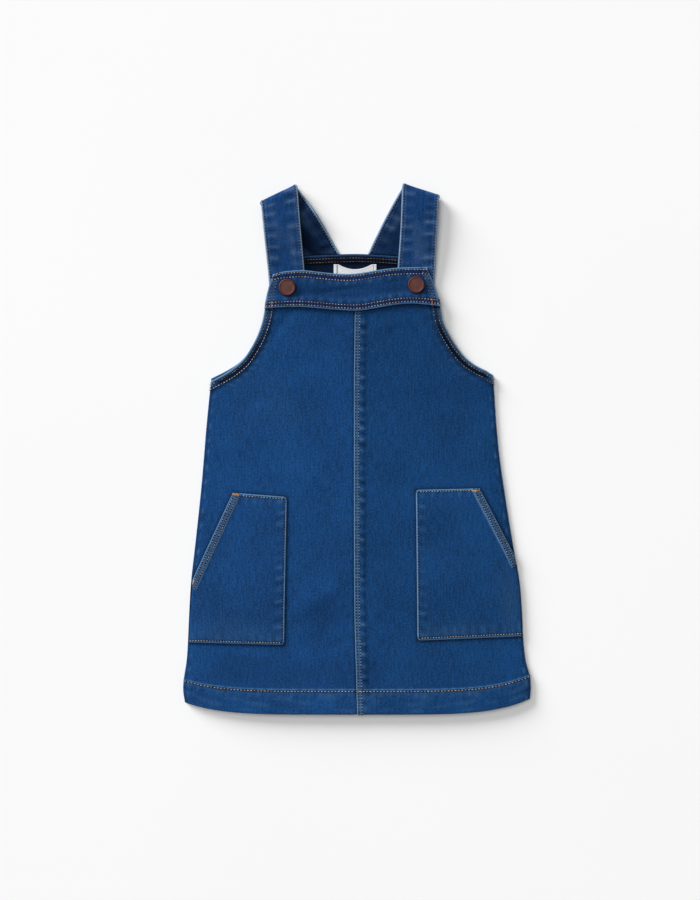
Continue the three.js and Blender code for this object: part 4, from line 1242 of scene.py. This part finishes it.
def strap_middle(sides, across, lift):
    """Middle surface of a strap, from under the bib, over its fold and down to the neck. Halfway down its
    back run the inner edge stands off the floor by a lift.
    """
    outer, inner, back_outer, back_inner = sides
    low = STRAP_WALL / 2
    high = FOLD_TOP - low
    fold = strap_run(outer, inner, np.array([1.0]), across)[0]
    before = strap_run(outer, inner, np.array([2 / 3]), across)[0]
    after = strap_run(back_outer, back_inner, np.array([0.5]), across)[0]
    up, down = unit(fold - before), unit(fold - after)
    shortfall = -unit(up + down) * (FOLD_RUN + low)
    part = np.linspace(0, 1, FRONT_ROWS_OF_STRAP)
    front = strap_run(outer, inner, part, across) + shortfall * (part**2)[:, None, None]
    end_height = STRAP_END_UNDER + low
    front_z = end_height + (high - end_height) * ease(0.15, 0.85, part)
    turn = np.linspace(0, 1, FOLD_ROWS_OF_STRAP)[1:-1, None, None]
    aim = unit(up * (1 - turn) + down * turn)
    over = fold + shortfall + aim * FOLD_RUN * np.sin(np.pi * turn)
    over_z = (low + high) / 2 + (high - low) / 2 * np.cos(np.pi * turn[:, 0, 0])
    part = np.linspace(0, 1, BACK_ROWS_OF_STRAP)
    back_run = strap_run(back_outer, back_inner, part, across) + shortfall * ((1 - part) ** 2)[:, None, None]
    edge_lift = lift * np.sin(np.pi * ease(0.05, 0.9, part))[:, None] * across[None] ** 2
    at_neck = ease(STRAP_END_FROM, 1, part)
    to_neck = neck_line(back_run[-1, :, 0]) - STRAP_END_SHORT - back_run[-1, :, 1]
    back_run[..., 1] += to_neck * at_neck[:, None]
    flat = np.vstack([front, over, back_run])
    heights = np.concatenate([front_z, over_z, low + STRAP_END_RISE * at_neck])
    heights = np.repeat(heights[:, None], len(across), 1)
    heights[-BACK_ROWS_OF_STRAP:] += edge_lift
    return np.dstack([flat, heights])


def strap(name, blue, back_run_shade, lift, seed):
    """One strap. Its back run gets painted shadow where its front run shades it, as much as the third
    argument gives.
    """
    widths = steps_across(STRAP_STEPS, STRAP_WIDTH, 14)
    middle = strap_middle(strap_sides[name], widths / STRAP_WIDTH, lift)
    run, widths = np.broadcast_arrays(length_of(middle[:, len(widths) // 2])[:, None], widths)
    normal = unit(np.cross(np.gradient(middle, axis=1), np.gradient(middle, axis=0)))
    if name == "strap_right":
        normal = -normal
    rolled = np.minimum(widths, STRAP_WIDTH - widths)
    outer_puckers = ripple(run + 0.2 * widths, 11, seed)
    inner_puckers = ripple(run + 0.2 * widths, 10, seed + 1)
    from_outer = 1 - ease(STRAP_WIDTH * 0.3, STRAP_WIDTH * 0.7, widths)
    puckers = inner_puckers + (outer_puckers - inner_puckers) * from_outer
    slack = unevenness(0.6 * run, 1.6 * widths, seed + 2, 16, 50)
    at_neck = np.zeros_like(run)
    at_neck[-BACK_ROWS_OF_STRAP:] = ease(STRAP_END_FROM, 1, np.linspace(0, 1, BACK_ROWS_OF_STRAP))[:, None]
    half = STRAP_WALL / 2 - fold_drop(rolled, STRAP_ROUND) - 0.14 * line_at(STRAP_ROW, 0.6, rolled)
    half = half * (1 - STRAP_END_THINNER * at_neck)
    relief = 0.2 * (puckers - ticks(puckers)) * between(2.5, 8, 6, rolled) + 0.1 * slack * ease(2, 8, rolled)
    relief = relief * (1 - at_neck)
    top = middle + normal * (half + relief)[..., None]
    under = middle - normal * (half - 0.6 * relief)[..., None]
    for side in (top, under):
        side[..., 2] = np.maximum(side[..., 2], 0)
    worn = (
        0.82 * line_at(0.6, 0.55, rolled)
        + 0.07 * between(1.4, 3.6, 1.0, rolled)
        + 0.22 * ridges(puckers) ** 2 * between(4, 9, 5, rolled)
        + 0.1 * ridges(slack) * ease(5, 9, rolled)
    )
    on_back = ease(FRONT_ROWS_OF_STRAP + 2, FRONT_ROWS_OF_STRAP + 24, np.arange(len(run)))[:, None]
    shade_side = 1 - ease(0.2 * STRAP_WIDTH, 0.95 * STRAP_WIDTH, widths)
    patches = (1 - 0.3 * ridges(slack)) * ease(1.1, 1.8, rolled)
    deep = (
        # Dark: unfaded indigo along the rows, and painted shade in pucker troughs and as the front run's
        # shadow over the back run, most on its shaded side.
        0.3 * line_at(STRAP_ROW + 0.2, 0.7, rolled)
        + 0.4 * ticks(puckers) * between(4, 9, 4, rolled)
        + back_run_shade * on_back * patches * (0.7 + 0.3 * shade_side)
    )
    grain = np.dstack([widths, run]) + seed * 10
    band_of_cloth = cloth_piece(name + "_band", top, under, grain, worn, deep)
    colour = denim(name + "_denim", blue, (4, 10, 25), (134, 162, 190))
    as_part(band_of_cloth, name, colour)
    rows = []
    for column in np.flatnonzero(np.isclose(rolled[0], STRAP_ROW)):
        for face, way in ((top, normal), (under, -normal)):
            places = face[3:-2, column] + 0.12 * way[3:-2, column]
            places[:, 2] = np.maximum(places[:, 2], ROW_CLEAR)
            rows.append([(Vector(place), Vector(up)) for place, up in zip(places * MM, way[3:-2, column])])
    stitches = sew(
        name + "_stitches", rows, lilac_thread, 2.6, 1.3, STRAP_THREAD, 1.8, seed=seed, slot="strap_denim"
    )


# The right strap's blue is darker as painted shade, the light falling from the left; the left back run gets
# the most painted shadow, under its front run.
strap("strap_left", blue=(24, 61, 109), back_run_shade=1.0, lift=8.0, seed=120)
strap("strap_right", blue=(21, 57, 103), back_run_shade=0.66, lift=0.8, seed=140)

# Snap caps
# Each is a pressed brass cap with dull copper plating, set through the bib band onto the socket that the
# strap's stud snaps into. Its edge is rolled over, and its middle is brushed and slightly dished.

CAP_HEIGHT = 2.2
CAP_MIDDLE = 2.05  # height of its middle, which is slightly dished
CAP_SIDES = 64
cap_profile = [  # radius and height, from its foot over its rim to its middle
    (6.6, 0.0), (7.2, 0.15), (7.5, 0.5), (CAP_RADIUS, 1.0), (7.55, 1.5), (7.35, 1.85), (7.05, 2.1),
    (6.7, CAP_HEIGHT), (6.35, 2.12), (6.05, 1.96), (5.5, 1.92), (3.5, 1.98), (1.5, 2.03),
]


def copper_plating():
    """Dull copper brown plating on brass: brushed with painted sheen along the brushing, a little blotched,
    and brighter on the rim.
    """
    material, wire = new_material("copper_plating")
    place = wire.make("ShaderNodeTexCoord", output="Object")
    brushed = wire.make("ShaderNodeMapping", {"Vector": place, "Scale": (500, 2600, 500)}).noise(1, 2)
    blotches = place.noise(330, 3)
    colour = blotches.between(0.35, 0.7).blend(paint(82, 38, 31), paint(71, 35, 30))
    # Lighter streaks along the brushing: painted sheen.
    colour = (0.25 * brushed.between(0.5, 0.7)).blend(colour, paint(98, 55, 44))
    return set_shader(material, {
        "Base Color": colour,
        "Metallic": 0.4,
        "Roughness": 0.46 + 0.16 * blotches,
        "Normal": brushed.bump(0.25, 0.00005),
    })


plating = copper_plating()
for name, (at_x, at_y) in caps.items():
    foot_y = np.array([at_y - CAP_RADIUS])
    up = (foot_y - np.interp(at_x, *np.transpose(band_foot))) / BAND_HEIGHT
    seat = float(band_under(np.array([at_x]), foot_y, up)[0]) + BAND_WALL + LAYER_GAP
    points = []
    for radius, height in cap_profile:
        for k in range(CAP_SIDES):
            turn = 2 * math.pi * k / CAP_SIDES
            points.append((at_x + radius * math.cos(turn), at_y + radius * math.sin(turn), seat + height))
    faces = []
    for first in range(0, len(points) - CAP_SIDES, CAP_SIDES):
        for k in range(CAP_SIDES):
            here, beside = first + k, first + (k + 1) % CAP_SIDES
            faces.append((here, beside, beside + CAP_SIDES, here + CAP_SIDES))
    last_ring, foot_centre, top_centre = len(points) - CAP_SIDES, len(points), len(points) + 1
    points += [(at_x, at_y, seat), (at_x, at_y, seat + CAP_MIDDLE)]
    for k in range(CAP_SIDES):
        after = (k + 1) % CAP_SIDES
        faces.append((foot_centre, after, k))
        faces.append((top_centre, last_ring + k, last_ring + after))
    mesh = bpy.data.meshes.new(name + "_cap")
    mesh.from_pydata((np.array(points) * MM).tolist(), [], faces)
    mesh.shade_smooth()
    as_part(new_object(name + "_cap", mesh), name, plating)

# Bartacks
# Short dense bars of orange or brown thread hold the ends of each pocket mouth, the ends of the bib band's
# lower edge and the foot of the centre seam. Each is sewn over the finished seams by zigzag stitches.

BAR_PITCH = 0.55
BAR_THREAD = 0.55
BAR_SLANT = 80  # degrees from the bar's length to its stitches

orange_thread = thread("orange_thread", (196, 122, 62), (204, 168, 130), (128, 84, 66))
brown_thread = thread("brown_thread", (150, 98, 66), (168, 160, 150), (54, 56, 76))
bars = [  # piece, thread, x, y, angle, length and width
    (left_patch, orange_thread, -108.6, -41.2, -4, 6.4, 2.2),
    (left_patch, brown_thread, -147.2, -120.6, 74, 6.4, 2.2),
    (right_patch, orange_thread, 106.8, -37.4, 2, 6.2, 2.2),
    (right_patch, brown_thread, 143.0, -103.6, -72, 5.4, 1.8),
    (band, orange_thread, 67.4, 131.6, 86, 4.6, 1.3),
    (band, brown_thread, -76.4, 129.6, 86, 4.6, 1.3),
    (front_left, tan_thread, -76.6, 121.0, 86, 4.6, 1.0),
    (front_right, brown_thread, 2.4, -217.4, 0, 3.4, 1.6),
]
for count, (piece, bar_thread, at_x, at_y, angle, length, width) in enumerate(bars):
    turn = math.radians(angle)
    run = np.linspace(-length / 2, length / 2, 12)
    line = np.stack([at_x + run * math.cos(turn), at_y + run * math.sin(turn)], 1)
    sew(
        f"bartack_{count + 1}", drawn_on(piece, [line]), bar_thread, BAR_PITCH, width, BAR_THREAD,
        hole=0.3, turn=math.radians(BAR_SLANT), seed=30 + count,
    )

# Floor, light and camera
# A plain white floor under a broad soft light low at the upper left and a wide soft light overhead. The
# camera looks straight down, as the photograph does.

FRAME_HEIGHT = 0.810  # height of the floor that the picture shows, in metres like all sizes here
CAMERA_HEIGHT = 2.2
PICTURE_MIDDLE = (-0.0062, -0.0010)
SENSOR_HEIGHT = 24
FLOOR_REACH = 4
FLOOR_LEVEL = -0.0003  # just below the dress, so that no face of it lies in the floor

floor_mesh = bpy.data.meshes.new("floor")
corners = [(x * FLOOR_REACH, y * FLOOR_REACH, FLOOR_LEVEL) for x, y in ((-1, -1), (1, -1), (1, 1), (-1, 1))]
floor_mesh.from_pydata(corners, [], [(0, 1, 2, 3)])
floor = new_object("floor", floor_mesh)
card, wire = new_material("white_card")
grain_of_card = wire.make("ShaderNodeTexCoord", output="Object").noise(3, 1)
floor_mesh.materials.append(set_shader(card, {
    "Base Color": grain_of_card.blend((0.93, 0.93, 0.93, 1), (0.95, 0.95, 0.95, 1)),
    "Roughness": 0.9,
    "Specular IOR Level": 0.1,
}))

world = bpy.data.worlds.new("studio")
world.use_nodes = True
sky = world.node_tree.nodes["Background"].inputs
sky["Color"].default_value = (1, 1, 1, 1)
sky["Strength"].default_value = 0.16
bpy.context.scene.world = world


def aimed_light(kind, name, place, power):
    """A light at a place, in metres, turned to the middle of the dress."""
    light = bpy.data.lights.new(name, kind)
    light.energy = power
    lamp = new_object(name, light)
    lamp.location = place
    lamp.rotation_euler = (-Vector(place)).to_track_quat("-Z", "Y").to_euler()
    return light


window = aimed_light("SUN", "window_light", (-1.82, 1.75, 0.92), 4.15)
window.angle = math.radians(30)
overhead = aimed_light("AREA", "overhead_light", (-1.2, 1.0, 6.0), 178)
overhead.shape = "DISK"
overhead.size = 4.5

lens = bpy.data.cameras.new("camera")
lens.sensor_fit = "VERTICAL"
lens.sensor_height = SENSOR_HEIGHT
lens.lens = SENSOR_HEIGHT * CAMERA_HEIGHT / FRAME_HEIGHT
camera = new_object("camera", lens)
camera.location = (*PICTURE_MIDDLE, CAMERA_HEIGHT)
bpy.context.scene.camera = camera
bpy.context.scene.view_settings.view_transform = "Standard"
